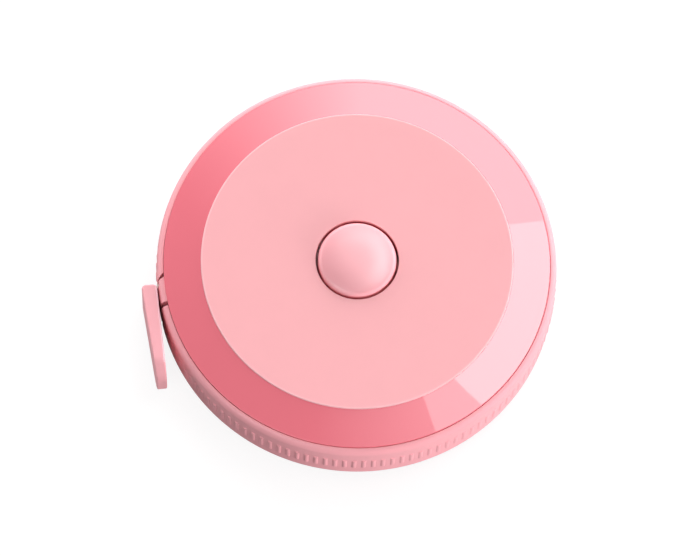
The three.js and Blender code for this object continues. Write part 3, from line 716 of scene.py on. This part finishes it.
def printed_tape(name, tint, ink):
    """Coated woven cloth with marks at each millimetre, longer ones at five and ten."""
    material, tree, shader, place = new_material(name)
    turn = Matrix.Rotation(-settings().directions.exit_heading, 3, "Z").to_euler()
    turned_place = add_node(tree, "ShaderNodeMapping", {"Vector": place, "Rotation": turn}).outputs[0]
    parts = add_node(tree, "ShaderNodeSeparateXYZ", {0: turned_place}).outputs
    height = ramp(tree, parts[2], settings().tape.bottom, settings().tape.top, shape="LINEAR")

    def marks(every, width, reach):
        """Upright marks that rise from the tape's lower edge."""
        shifted = number(tree, "ADD", parts[0], width / 2)
        along = number(tree, "FLOORED_MODULO", shifted, every)
        thin = number(tree, "LESS_THAN", along, width)
        return number(tree, "MULTIPLY", thin, number(tree, "LESS_THAN", height, reach))

    def threads(direction):
        """Rows of threads along one direction of the cloth."""
        values = {"Vector": turned_place, "Scale": CLOTH.threads / MM}
        choices = {"wave_type": "BANDS", "bands_direction": direction}
        return add_node(tree, "ShaderNodeTexWave", values, **choices).outputs["Fac"]

    inked = 0.0
    for every, width, reach in TAPE_MARKS:
        inked = number(tree, "MAXIMUM", inked, marks(every * MM, width * MM, reach))
    cloud = grain(tree, place, CLOTH.cloud_size)
    cloth = blend_colours(tree, cloud, shade(tint, CLOTH.darker), shade(tint, CLOTH.lighter))
    tree.links.new(blend_colours(tree, inked, cloth, (*ink, 1)), shader.inputs["Base Color"])
    weave = number(tree, "MULTIPLY", threads("X"), threads("Z"))
    sheen = ramp(tree, weave, 0, 1, *CLOTH.roughness, "LINEAR")
    tree.links.new(sheen, shader.inputs["Roughness"])
    raise_grain(tree, shader, weave, CLOTH.weave_depth, CLOTH.weave_strength)
    return material


def drawn_steel(name, tint):
    """Spring steel: fine drawing lines along Z and an uneven sheen."""
    material, tree, shader, place = new_material(name)
    shader.inputs["Metallic"].default_value = 1.0
    stretched = add_node(tree, "ShaderNodeMapping", {"Vector": place, "Scale": STEEL.stretch}).outputs[0]
    lines = grain(tree, stretched, STEEL.line_size)
    tree.links.new(mottled(tree, lines, tint, STEEL.mottle), shader.inputs["Base Color"])
    sheen = ramp(tree, lines, *GRAIN_SPAN, *STEEL.roughness, "LINEAR")
    tree.links.new(sheen, shader.inputs["Roughness"])
    raise_grain(tree, shader, lines, STEEL.line_depth)
    return material


def side_band():
    """Band with shoulders, ledges and upright ribs, cut at the mouth."""
    case = in_mm(settings().case)
    ribs = in_mm(settings().ribs)
    steps = settings().steps
    level = heights_and_radii()
    mouth = mouth_angles()
    foot = (level.lip, level.shoulder)
    upper = arc(foot, case.shoulder_width, level.shoulder_rise, 0, QUARTER_TURN, steps.shoulder)
    rib_top = level.middle + ribs.span / 2
    top_half = [
        (case.wall_radius, rib_top),
        *upper,
        (level.lip, level.ledge),
        (level.band_inside, level.ledge),
    ]
    bottom_half = [(radius, case.thickness - height) for radius, height in reversed(top_half)]
    tips = [(level.lip, level.lip_top), (level.lip, case.thickness - level.lip_top)]
    flat = section(bottom_half + top_half, [(tip, case.lip_round) for tip in tips])
    pitches = round(FULL_TURN * case.wall_radius / ribs.pitch)
    column = FULL_TURN / pitches / steps.rib
    sweep = FULL_TURN - (mouth.band_start - mouth.mouth) + column
    columns = math.ceil(sweep / column)
    bm = turned(flat, columns, mouth.band_start, columns * column)
    raise_ribs(bm, column, columns)
    return open_at_mouth(bm)


def raise_ribs(bm, column, columns):
    """Raise the middle columns of each pitch into a rib. The band's ends at the mouth stay smooth."""
    case = in_mm(settings().case)
    ribs = in_mm(settings().ribs)
    per_pitch = settings().steps.rib
    start = mouth_angles().band_start
    middle = heights_and_radii().middle
    last = columns - SMOOTH_PITCHES * per_pitch
    pairs = {}
    for face in bm.faces:
        spot = face.calc_center_median()
        at_wall = spot.xy.length > case.wall_radius - ribs.slope
        if not at_wall or abs(spot.z - middle) > ribs.slope:
            continue
        index = int(((math.atan2(spot.y, spot.x) - start) % FULL_TURN) / column)
        if per_pitch <= index < last and index % per_pitch in (1, 2):
            pairs.setdefault(index // per_pitch, []).append(face)
    raised = [face for pair in pairs.values() for face in pair]
    bmesh.ops.inset_region(
        bm, faces=raised, thickness=ribs.slope, depth=ribs.height, use_even_offset=True, use_boundary=True,
    )
    crest = [v for a, b in pairs.values() for v in set(a.verts) & set(b.verts)]
    lift = 1 + ribs.crown / case.wall_radius
    bmesh.ops.scale(bm, vec=(lift, lift, 1), verts=crest)


def lid_plate(hole):
    """Turned plate of a front lid: bevel, inlay recess and, round a hole, the guide collar."""
    lid = in_mm(settings().lid)
    level = heights_and_radii()
    outline = [
        (level.lid_radius, level.inside),
        (level.lid_radius, level.seam),
        (level.recess, level.recess_top),
        (level.recess, level.seat),
    ]
    if hole:
        collar_end = level.inside - lid.collar_depth
        outline += [
            (hole, level.seat),
            (hole, collar_end),
            (hole + lid.collar_wall, collar_end),
            (hole + lid.collar_wall, level.inside),
        ]
    else:
        outline += [(0, level.seat), (0, level.inside)]
    rounds = [(outline[1], lid.edge_round), (outline[2], lid.recess_round)]
    return turned(section(outline, rounds), settings().steps.turn)


def lid_seat():
    """Ring under a lid that sits on the band's ledge and inside the band, open at the mouth."""
    lid = in_mm(settings().lid)
    level = heights_and_radii()
    mouth = mouth_angles()
    outside = level.band_inside - lid.spigot_fit
    inside = outside - lid.spigot_wall
    top = level.inside + lid.overlap
    rim = level.lid_radius - lid.overlap
    end = level.inside - lid.spigot_depth
    spigot = [(inside, top), (inside, end), (outside, end)]
    outline = [*spigot, (outside, level.ledge), (rim, level.ledge), (rim, top)]
    start = mouth.band_start + lid.seat_clear / level.lid_radius
    sweep = FULL_TURN - (start - mouth.mouth)
    bm = turned(section(outline), settings().steps.turn, start, sweep)
    return open_at_mouth(bm)


def mouth_block():
    """Upper half of the block beside the tape, and the lip that covers the tape's edge."""
    case = in_mm(settings().case)
    sizes = in_mm(settings().mouth)
    lid = in_mm(settings().lid)
    steps = settings().steps
    level = heights_and_radii()
    mouth = mouth_angles()
    split = level.seam - sizes.lip_height
    turn = math.asin((split - level.shoulder) / level.shoulder_rise)
    centre = (level.lip, level.shoulder)
    lower_arc = arc(centre, case.shoulder_width, level.shoulder_rise, 0, turn, steps.shoulder)
    upper_arc = arc(centre, case.shoulder_width, level.shoulder_rise, turn, QUARTER_TURN, steps.shoulder)
    body = [
        (sizes.block_inside, level.middle),
        (case.wall_radius, level.middle),
        *lower_arc,
        (sizes.block_inside, split),
    ]
    lip = [
        (sizes.block_inside, split - lid.overlap),
        (case.wall_radius - case.shoulder_width * (1 - math.cos(turn)), split - lid.overlap),
        *upper_arc,
        (level.lid_radius - lid.overlap, level.lip_top),
        (sizes.block_inside, level.inside + lid.overlap),
    ]
    start = mouth.contact + math.acos((sizes.tape_line + mouth.slot_half) / case.wall_radius)
    sweep = mouth.block_end - start
    body_part = turned(section(body), steps.shoulder, start, sweep)
    body_part = trimmed(body_part, mouth.across * (sizes.tape_line - mouth.block_half), mouth.across)
    band_end = mouth.contact + math.acos((sizes.tape_line + mouth.slot_half) / level.lip)
    lip_part = turned(section(lip), 2 * steps.shoulder, band_end, mouth.block_end - band_end)
    corner = polar(level.lip, band_end + sizes.lip_gap / level.lip)
    lip_part = trimmed(lip_part, corner, polar(1, mouth.contact - sizes.lip_turn))
    return [painted(body_part, 1), painted(lip_part, 1)]


def press_posts(hollow):
    """Posts that press the two lids together: hollow ones, or ones with pins that fit into those."""
    lid = in_mm(settings().lid)
    level = heights_and_radii()
    turns = settings().directions
    top = level.inside + lid.overlap
    outside = [(lid.post_radius, level.middle), (lid.post_radius, top)]
    if hollow:
        outline = [(lid.post_bore, level.middle), *outside, (lid.post_bore, top)]
    else:
        end = level.middle - lid.pin_length
        pin = [(0, end), (lid.pin_radius, end), (lid.pin_radius, level.middle)]
        outline = [*pin, *outside, (0, top)]
    posts = []
    for turn in (turns.first_post, turns.second_post, turns.third_post, turns.fourth_post):
        post = turned(section(outline), settings().steps.post)
        bmesh.ops.translate(post, vec=polar(lid.post_circle, turn), verts=post.verts)
        posts.append(post)
    return posts


def arbor():
    """Fixed arbor of the back lid with its stem, shaped as if it stood on the front one."""
    case = in_mm(settings().case)
    lid = in_mm(settings().lid)
    level = heights_and_radii()
    top = level.inside + lid.overlap
    step = case.thickness - lid.arbor_top
    end = case.thickness - lid.guide_top
    stem = [(0, end), (lid.guide_radius, end), (lid.guide_radius, step)]
    outline = [*stem, (lid.arbor_radius, step), (lid.arbor_radius, top), (0, top)]
    return turned(section(outline), settings().steps.hub)


def inlay(hole):
    """Front inlay disc with a rounded rim."""
    case = in_mm(settings().case)
    face = in_mm(settings().face)
    level = heights_and_radii()
    rim = (face.radius, case.thickness)
    rounds = [(rim, face.edge_round)]
    if hole:
        rounds.append(((hole, case.thickness), face.hole_round))
    outline = [(hole, level.seat), (face.radius, level.seat), rim, (hole, case.thickness)]
    return turned(section(outline, rounds), settings().steps.turn)


def button_body():
    """Domed cap with its hollow skirt and brake flange."""
    case = in_mm(settings().case)
    button = in_mm(settings().button)
    steps = settings().steps
    centre = (button.radius - button.edge_round, case.thickness - button.sink)
    edge = arc(centre, button.edge_round, button.edge_round, 0, button.edge_turn, 3 * steps.corner)
    reach, start = edge[-1]
    rise = button.top - start
    power = reach / (rise * math.tan(button.edge_turn))
    shares = [1 - (i + 1) / steps.dome for i in range(steps.dome)]
    dome = [(reach * share, button.top - rise * share ** power) for share in shares]
    flange_top = button.flange_bottom + button.flange_thickness
    outline = [
        (0, button.ceiling),
        (button.bore, button.ceiling),
        (button.bore, button.flange_bottom),
        (button.flange_radius, button.flange_bottom),
        (button.flange_radius, flange_top),
        (button.radius, flange_top),
        *edge,
        *dome,
    ]
    return turned(section(outline), steps.hub)


def button_keys():
    """Guide keys on the button's skirt."""
    button = in_mm(settings().button)
    total = settings().steps.keys
    skirt = (button.bore + button.radius) / 2
    reach = button.radius + button.key_height
    foot = button.flange_bottom + button.flange_thickness / 2
    keys = []
    for i in range(total):
        key = bmesh.new()
        bmesh.ops.create_cube(key, size=1)
        bmesh.ops.scale(key, vec=(reach - skirt, button.key_width, button.key_top - foot), verts=key.verts)
        bmesh.ops.translate(key, vec=((reach + skirt) / 2, 0, (button.key_top + foot) / 2), verts=key.verts)
        round_edges(key, key.edges[:], button.key_height * KEY_ROUND_SHARE, KEY_ROUND_STEPS)
        bmesh.ops.rotate(
            key, verts=key.verts, cent=(0, 0, 0), matrix=Matrix.Rotation(FULL_TURN * i / total, 3, "Z"),
        )
        keys.append(key)
    return keys


def strip_turns(first, last):
    """Points along the inside of the mainspring's turns, from one radius to another."""
    spring = in_mm(settings().spring)
    steps = math.ceil((last - first) / spring.pitch * settings().steps.winding)
    radii = [first + (last - first) * i / steps for i in range(steps + 1)]
    return [polar(r, spring.hook_turn - FULL_TURN * (spring.outer - r) / spring.pitch) for r in radii]


def spring_strip(path):
    """Flat spring strip, drawn as an upright edge along its path and thickened outwards."""
    spring = in_mm(settings().spring)
    bm = bmesh.new()
    heights = (spring.bottom, spring.top)
    edge = bm.edges.new([bm.verts.new((path[0].x, path[0].y, height)) for height in heights])
    for here, there in zip(path, path[1:]):
        drawn = bmesh.ops.extrude_edge_only(bm, edges=[edge])["geom"]
        ends = [part for part in drawn if isinstance(part, bmesh.types.BMVert)]
        bmesh.ops.translate(bm, vec=there - here, verts=ends)
        edge = bm.edges.get(ends)
    bmesh.ops.solidify(bm, geom=bm.faces[:], thickness=-spring.strip)
    return settle(bm)


def wire_coil():
    """Wire spring that stands on the arbor's step, wound by a rising spin."""
    spring = in_mm(settings().spring)
    steps = settings().steps
    rise = spring.wire_top - spring.wire_bottom - spring.wire
    turns = rise / spring.wire_pitch
    slope = math.atan(spring.wire_pitch / (FULL_TURN * spring.wire_radius))
    total = math.ceil(turns * steps.winding)
    bm = bmesh.new()
    bmesh.ops.create_circle(bm, segments=steps.wire, radius=spring.wire / 2)
    home = (
        Matrix.Translation((spring.wire_radius, 0, spring.wire_bottom + spring.wire / 2))
        @ Matrix.Rotation(QUARTER_TURN + slope, 4, "X")
    )
    bmesh.ops.transform(bm, matrix=home, verts=bm.verts)
    bmesh.ops.spin(
        bm, geom=bm.verts[:] + bm.edges[:], cent=(0, 0, 0), axis=(0, 0, 1),
        dvec=(0, 0, rise / total), angle=turns * FULL_TURN, steps=total, use_merge=False,
    )
    close_ends(bm)
    return settle(bm)


def tab_body():
    """Tapered tab with a rounded head, round free corners and soft edges."""
    tab = in_mm(settings().tab)
    wall = settings().case.wall_radius / MM
    steps = settings().steps
    bm = bmesh.new()
    bmesh.ops.create_cube(bm, size=1)
    bmesh.ops.scale(bm, vec=(tab.head_thickness, tab.long, tab.height), verts=bm.verts)
    bmesh.ops.translate(bm, vec=(tab.head_thickness / 2, tab.long / 2 - tab.overhang, 0), verts=bm.verts)
    free_end = tab.long - tab.overhang
    outer_end = [v for v in bm.verts if v.co.y > 0 and v.co.x > tab.end_thickness]
    taper = tab.end_thickness - tab.head_thickness
    bmesh.ops.translate(bm, vec=(taper, 0, 0), verts=outer_end)

    def edges_along(direction, at_end):
        return [
            e for e in bm.edges
            if abs((e.verts[0].co - e.verts[1].co).normalized().dot(direction)) > SAME_DIRECTION
            and all((v.co.y > free_end / 2) == at_end for v in e.verts)
        ]

    def sharp_edges():
        return [e for e in bm.edges if e.calc_face_angle(0) > SHARP_ANGLE]

    across = Vector((1, 0, 0))
    upright = Vector((0, 0, 1))
    fine = steps.corner + 1
    round_edges(bm, edges_along(across, True), tab.end_round, steps.tab)
    round_edges(bm, edges_along(upright, False), tab.head_round, fine)
    facing_wall = [e for e in sharp_edges() if all(v.co.x < tab.end_thickness / 2 for v in e.verts)]
    round_edges(bm, facing_wall, tab.inner_round, fine)
    round_edges(bm, sharp_edges(), tab.edge_round, fine)
    # Faces on the top and bottom edges that face the wall get the second slot, a painted highlight in a
    # lighter colour.
    for face in bm.faces:
        spot = face.calc_center_median()
        highlighted_edge = abs(spot.z) > tab.height / 2 - tab.inner_round
        face.material_index = int(highlighted_edge and spot.x < tab.inner_round)
    place = mouth_angles()
    middle = heights_and_radii().middle
    turn = place.mouth + tab.offset / wall
    home = (
        Matrix.Rotation(turn, 4, "Z")
        @ Matrix.Translation((wall + tab.standoff, 0, middle))
        @ Matrix.Rotation(-tab.swing, 4, "Z")
    )
    bmesh.ops.transform(bm, matrix=home, verts=bm.verts)
    return settle(bm)


def tape_body():
    """Straight strip from inside the case to its seat in the tab."""
    tape = in_mm(settings().tape)
    wall = settings().case.wall_radius / MM
    line = settings().mouth.tape_line / MM
    mouth = mouth_angles()
    run = math.sqrt(wall ** 2 - line ** 2) + tape.seat
    middle = (tape.top + tape.bottom) / 2
    bm = bmesh.new()
    bmesh.ops.create_grid(bm, x_segments=settings().steps.tape, y_segments=1, size=0.5)
    bmesh.ops.scale(bm, vec=(run, tape.top - tape.bottom, 1), verts=bm.verts)
    bmesh.ops.solidify(bm, geom=bm.faces[:], thickness=tape.thickness)
    home = (
        Matrix.Rotation(settings().directions.exit_heading, 4, "Z")
        @ Matrix.Translation((run / 2, 0, middle))
        @ Matrix.Rotation(QUARTER_TURN, 4, "X")
    )
    bmesh.ops.transform(bm, matrix=home, verts=bm.verts)
    settle(bm)
    for vert in bm.verts:
        past = vert.co.dot(mouth.along) - (run - tape.seat - tape.end_taper)
        share = min(max(past / tape.end_taper, 0), 1)
        vert.co.z += math.copysign(tape.end_cut * share, middle - vert.co.z)
    offsets = [v.co.dot(mouth.across) for v in bm.verts]
    shift = line - (min(offsets) + max(offsets)) / 2
    bmesh.ops.translate(bm, vec=mouth.across * shift, verts=bm.verts)
    return bm


class SideBandOperator(Operator):
    """Model the ribbed side band"""

    bl_idname = "tape_measure.side_band"
    bl_label = "Side Band"

    def execute(self, context):
        tint = settings().finishes.band
        finish = moulded_plastic("Satin band plastic", tint, **BAND_GRAIN)
        piece = finished("side_band", side_band(), [finish])
        seated(piece, "case", "case_ring")
        return {"FINISHED"}


class LidsOperator(Operator):
    """Model both bevelled lids with their mouth blocks"""

    bl_idname = "tape_measure.lids"
    bl_label = "Lids"

    def execute(self, context):
        gloss = polished_plastic("Polished lid plastic", settings().finishes.lid)
        satin = bpy.data.materials["Satin band plastic"]
        hole = heights_and_radii().hole
        front = [lid_plate(hole), lid_seat(), *mouth_block(), *press_posts(True)]
        front_lid = finished("front_lid", joined(front), [gloss, satin])
        seated(front_lid, "case", "front_cover")
        back = [lid_plate(0), lid_seat(), *mouth_block(), *press_posts(False), arbor()]
        back_lid = finished("back_lid", mirrored(joined(back)), [gloss, satin])
        seated(back_lid, "case", "back_cover")
        return {"FINISHED"}


class InlaysOperator(Operator):
    """Model the two matte inlay discs"""

    bl_idname = "tape_measure.inlays"
    bl_label = "Inlays"

    def execute(self, context):
        finish = inlay_plastic("Matte inlay plastic", settings().finishes.inlay)
        front = finished("front_inlay", inlay(heights_and_radii().hole), [finish])
        seated(front, "case", "front_face_disc")
        back = finished("back_inlay", mirrored(inlay(0)), [finish])
        seated(back, "case", "back_face_disc")
        return {"FINISHED"}


class ButtonOperator(Operator):
    """Model the domed push button"""

    bl_idname = "tape_measure.push_button"
    bl_label = "Push Button"

    def execute(self, context):
        tint = settings().finishes.cap
        finish = moulded_plastic("Satin button plastic", tint, **BUTTON_GRAIN)
        piece = finished("push_button", joined([button_body(), *button_keys()]), [finish])
        seated(piece, "button", "button")
        return {"FINISHED"}


class SpringsOperator(Operator):
    """Model the mainspring and the spring under the button"""

    bl_idname = "tape_measure.springs"
    bl_label = "Springs"

    def execute(self, context):
        spring = in_mm(settings().spring)
        steel = drawn_steel("Spring steel", settings().finishes.steel)
        still = strip_turns(spring.inner, spring.split)
        tang = still[0].normalized() * spring.tang
        turns = finished("mainspring_turns", spring_strip([tang, *still]), [steel])
        seated(turns, "case", "mainspring")
        moving = strip_turns(spring.split + SPLIT_GAP, spring.outer)
        hook = moving[-1].normalized() * spring.hook
        end = finished("mainspring_end", spring_strip([*moving, hook]), [steel])
        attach(end, "reel")
        coil = finished("button_coil", wire_coil(), [steel])
        seated(coil, "case", "button_spring")
        self.shorten(coil)
        return {"FINISHED"}

    def shorten(self, coil):
        """Give the wire spring a mesh of its own."""
        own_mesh(coil)


class TapeOperator(Operator):
    """Model the tape's straight end, from inside the case out through the mouth"""

    bl_idname = "tape_measure.tape"
    bl_label = "Tape"

    def execute(self, context):
        finishes = settings().finishes
        finish = printed_tape("Printed tape cloth", finishes.tape, finishes.ink)
        piece = finished("tape_strip", tape_body(), [finish])
        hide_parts("tape_lead")
        mouth = mouth_angles()
        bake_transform(piece)
        return {"FINISHED"}


class TabOperator(Operator):
    """Model the pull tab"""

    bl_idname = "tape_measure.pull_tab"
    bl_label = "Pull Tab"

    def execute(self, context):
        tint = settings().finishes.tab
        finish = moulded_plastic("Satin tab plastic", tint, **TAB_GRAIN)
        # The edge that faces the wall gets a lighter copy of the plastic as a painted highlight.
        painted_highlight = moulded_plastic("Tab edge painted highlight", shade(tint, HIGHLIGHT_TINT)[:3], **HIGHLIGHT_EDGE_GRAIN)
        piece = finished("tab_grip", tab_body(), [finish, painted_highlight])
        seated(piece, "tape_end", "pull_tab")
        return {"FINISHED"}


class InsidesOperator(Operator):
    """Give the reel, the wound tape and the brake their finishes"""

    bl_idname = "tape_measure.insides"
    bl_label = "Insides"

    def execute(self, context):
        finishes = settings().finishes
        uncoloured = moulded_plastic("Uncoloured reel plastic", finishes.reel, **REEL_GRAIN)
        rubber = moulded_plastic("Brake rubber", finishes.rubber, **RUBBER_GRAIN)
        dressed = {
            "brake_ring": rubber,
            "reel_drum": uncoloured,
            "spring_plate": uncoloured,
            "tape_coil": bpy.data.materials["Printed tape cloth"],
        }
        for node, material in dressed.items():
            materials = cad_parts[node].data.materials
            materials.clear()
            materials.append(material)
        return {"FINISHED"}


def panel_light(tree):
    """Brightness of the studio's overhead panels, laid out on a plane one unit above the object."""
    stage = settings().stage
    direction = add_node(tree, "ShaderNodeTexCoord").outputs["Generated"]
    parts = add_node(tree, "ShaderNodeSeparateXYZ", {0: direction}).outputs
    rise = number(tree, "MAXIMUM", parts[2], LEAST_RISE)
    across = number(tree, "DIVIDE", parts[0], rise)
    along = number(tree, "DIVIDE", parts[1], rise)

    def between(value, low, high, edge):
        start = ramp(tree, value, low - edge, low + edge)
        return number(tree, "SUBTRACT", start, ramp(tree, value, high - edge, high + edge))

    def inside(limits):
        wide = between(across, limits[0], limits[1], stage.panel_edge)
        return number(tree, "MULTIPLY", wide, between(along, limits[2], limits[3], stage.panel_edge))

    def fading(limits):
        wide = between(across, limits[0], limits[1], stage.panel_edge)
        rising = number(tree, "MULTIPLY", wide, ramp(tree, across, limits[0], limits[1], shape="LINEAR"))
        return number(tree, "MULTIPLY", rising, between(along, limits[2], limits[3], stage.fade_edge))

    panels = (
        (inside(stage.right_area), stage.right_panel),
        (inside(stage.back_area), stage.back_panel),
        (fading(stage.back_fade), stage.back_panel),
        (inside(stage.front_area), stage.front_panel),
        (fading(stage.front_fade), stage.front_panel * stage.front_share),
        (inside(stage.left_area), stage.left_panel),
    )
    total = stage.fill
    for shape, brightness in panels:
        total = number(tree, "ADD", number(tree, "MULTIPLY", shape, brightness), total)
    return total


class StageOperator(Operator):
    """Set up the camera, the lights and the floor"""

    bl_idname = "tape_measure.stage"
    bl_label = "Stage"

    def execute(self, context):
        self.camera(context.scene)
        self.world(context.scene)
        for name, values in LAMPS.items():
            self.lamp(context.scene, name, **values)
        self.floor(context.scene)
        context.scene.view_settings.view_transform = "Standard"
        return {"FINISHED"}

    def camera(self, scene):
        """A long lens at the photograph's angle and framing."""
        stage = settings().stage
        sideways = Vector((1, 0, 0))
        upward = Vector((0, math.cos(stage.tilt), math.sin(stage.tilt)))
        backward = Vector((0, -math.sin(stage.tilt), math.cos(stage.tilt)))
        right = math.cos(stage.roll) * sideways - math.sin(stage.roll) * upward
        up = math.sin(stage.roll) * sideways + math.cos(stage.roll) * upward
        middle = Vector((0, 0, settings().case.thickness / 2))
        aim = middle + stage.aim_x * sideways + stage.aim_y * upward
        lens = bpy.data.cameras.new("Studio camera")
        lens.sensor_width = SENSOR_WIDTH
        lens.lens = stage.focal_pixels / PHOTO_WIDTH * SENSOR_WIDTH
        camera = bpy.data.objects.new("Studio camera", lens)
        turn = Matrix((right, up, backward)).transposed().to_4x4()
        camera.matrix_world = Matrix.Translation(aim + stage.distance * backward) @ turn
        scene.collection.objects.link(camera)
        scene.camera = camera

    def world(self, scene):
        """Overhead panels for the object, plain white for the camera, and a white backdrop in reflections."""
        world = bpy.data.worlds.new("Studio")
        world.use_nodes = True
        tree = world.node_tree
        path = add_node(tree, "ShaderNodeLightPath").outputs
        seen = number(tree, "MAXIMUM", path["Is Camera Ray"], path["Is Transmission Ray"])
        direction = add_node(tree, "ShaderNodeTexCoord").outputs["Generated"]
        height = add_node(tree, "ShaderNodeSeparateXYZ", {0: direction}).outputs[2]
        low = ramp(tree, height, BACKDROP_TOP, BACKDROP_FULL, 0, settings().stage.backdrop)
        backdrop = number(tree, "MULTIPLY", low, path["Is Glossy Ray"])
        lit = number(tree, "MAXIMUM", panel_light(tree), backdrop)
        strength = add_node(tree, "ShaderNodeMix", {0: seen, 2: lit, 3: 1.0}, data_type="FLOAT").outputs[0]
        tree.links.new(strength, tree.nodes["Background"].inputs["Strength"])
        tree.nodes["Background"].inputs["Color"].default_value = (1, 1, 1, 1)
        scene.world = world

    def lamp(self, scene, name, power, bearing, rise, width, height):
        """A low soft lamp at a bearing and a rise in degrees, out of sight and out of reflections."""
        light = bpy.data.lights.new(name, "AREA")
        light.shape = "RECTANGLE"
        light.size = width
        light.size_y = height
        light.energy = power
        lamp = bpy.data.objects.new(name, light)
        turn = math.radians(bearing)
        lift = math.radians(rise)
        outward = Vector((math.cos(turn) * math.cos(lift), math.sin(turn) * math.cos(lift), math.sin(lift)))
        facing = outward.to_track_quat("Z", "Y").to_matrix().to_4x4()
        lamp.matrix_world = Matrix.Translation(outward * settings().stage.lamp_distance) @ facing
        lamp.visible_camera = False
        lamp.visible_glossy = False
        scene.collection.objects.link(lamp)

    def floor(self, scene):
        """A pale floor that looks white, also in reflections, and keeps a faint shadow."""
        stage = settings().stage
        material = bpy.data.materials.new("Studio floor")
        material.use_nodes = True
        tree = material.node_tree
        tree.nodes.clear()
        path = add_node(tree, "ShaderNodeLightPath").outputs
        seen = path["Is Camera Ray"]
        mirrored_ray = number(tree, "MAXIMUM", path["Is Glossy Ray"], path["Is Transmission Ray"])
        bounce = shade((1, 1, 1), stage.floor_bounce)
        grey = shade((1, 1, 1), stage.floor_grey)
        tone = blend_colours(tree, seen, bounce, grey)
        matte = add_node(tree, "ShaderNodeBsdfDiffuse", {"Color": tone}).outputs[0]
        place = add_node(tree, "ShaderNodeTexCoord").outputs["Object"]
        # Reflections see less of the floor's white inside a painted shadow, a disc round a fixed middle
        # beside the object.
        middle = (stage.shadow_x, stage.shadow_y, 0)
        apart = add_node(tree, "ShaderNodeVectorMath", {0: place, 1: middle}, operation="DISTANCE")
        away = apart.outputs["Value"]
        clear = ramp(tree, away, stage.shadow_reach, stage.open_reach, stage.floor_near, stage.floor_far)
        share = number(tree, "MAXIMUM", seen, number(tree, "MULTIPLY", mirrored_ray, clear))
        white = number(tree, "MULTIPLY", share, stage.floor_white)
        glow = add_node(tree, "ShaderNodeEmission", {"Strength": white}).outputs[0]
        both = add_node(tree, "ShaderNodeAddShader", {0: matte, 1: glow}).outputs[0]
        add_node(tree, "ShaderNodeOutputMaterial", {"Surface": both})
        bm = bmesh.new()
        bmesh.ops.create_grid(bm, x_segments=1, y_segments=1, size=FLOOR_SIZE)
        bmesh.ops.translate(bm, vec=(0, 0, -FLOOR_DROP), verts=bm.verts)
        mesh = bpy.data.meshes.new("studio_floor")
        bm.to_mesh(mesh)
        bm.free()
        mesh.materials.append(material)
        floor = bpy.data.objects.new("studio_floor", mesh)
        scene.collection.objects.link(floor)


class TapeMeasurePanel(Panel):
    """Sizes, finishes and steps of the tape measure."""

    bl_idname = "VIEW3D_PT_tape_measure"
    bl_label = "Tape Measure"
    bl_space_type = "VIEW_3D"
    bl_region_type = "UI"
    bl_category = "Tape Measure"

    def draw(self, context):
        for operator in OPERATORS:
            self.layout.operator(operator.bl_idname)
        for group_name in TapeMeasureSettings.__annotations__:
            group = getattr(context.scene.tape_measure, group_name)
            box = self.layout.box()
            box.label(text=group_name.title())
            for name in group.__annotations__:
                box.prop(group, name)


GROUPS = (
    CaseSizes, RibSizes, LidSizes, MouthSizes, FaceSizes, ButtonSizes, SpringSizes, TabSizes,
    TapeSizes, Directions, Steps, Finishes, StageSettings, TapeMeasureSettings,
)
OPERATORS = (
    StageOperator, SideBandOperator, LidsOperator, InlaysOperator, ButtonOperator,
    SpringsOperator, TapeOperator, TabOperator, InsidesOperator,
)
CLASSES = (*GROUPS, *OPERATORS, TapeMeasurePanel)


def register():
    for kind in CLASSES:
        bpy.utils.register_class(kind)
    bpy.types.Scene.tape_measure = PointerProperty(type=TapeMeasureSettings)


def unregister():
    del bpy.types.Scene.tape_measure
    for kind in reversed(CLASSES):
        bpy.utils.unregister_class(kind)


def main():
    register()
    bpy.ops.tape_measure.stage()
    bpy.ops.tape_measure.side_band()
    bpy.ops.tape_measure.lids()
    bpy.ops.tape_measure.inlays()
    bpy.ops.tape_measure.push_button()
    bpy.ops.tape_measure.springs()
    bpy.ops.tape_measure.tape()
    bpy.ops.tape_measure.pull_tab()
    bpy.ops.tape_measure.insides()


if __name__ == "__main__":
    main()
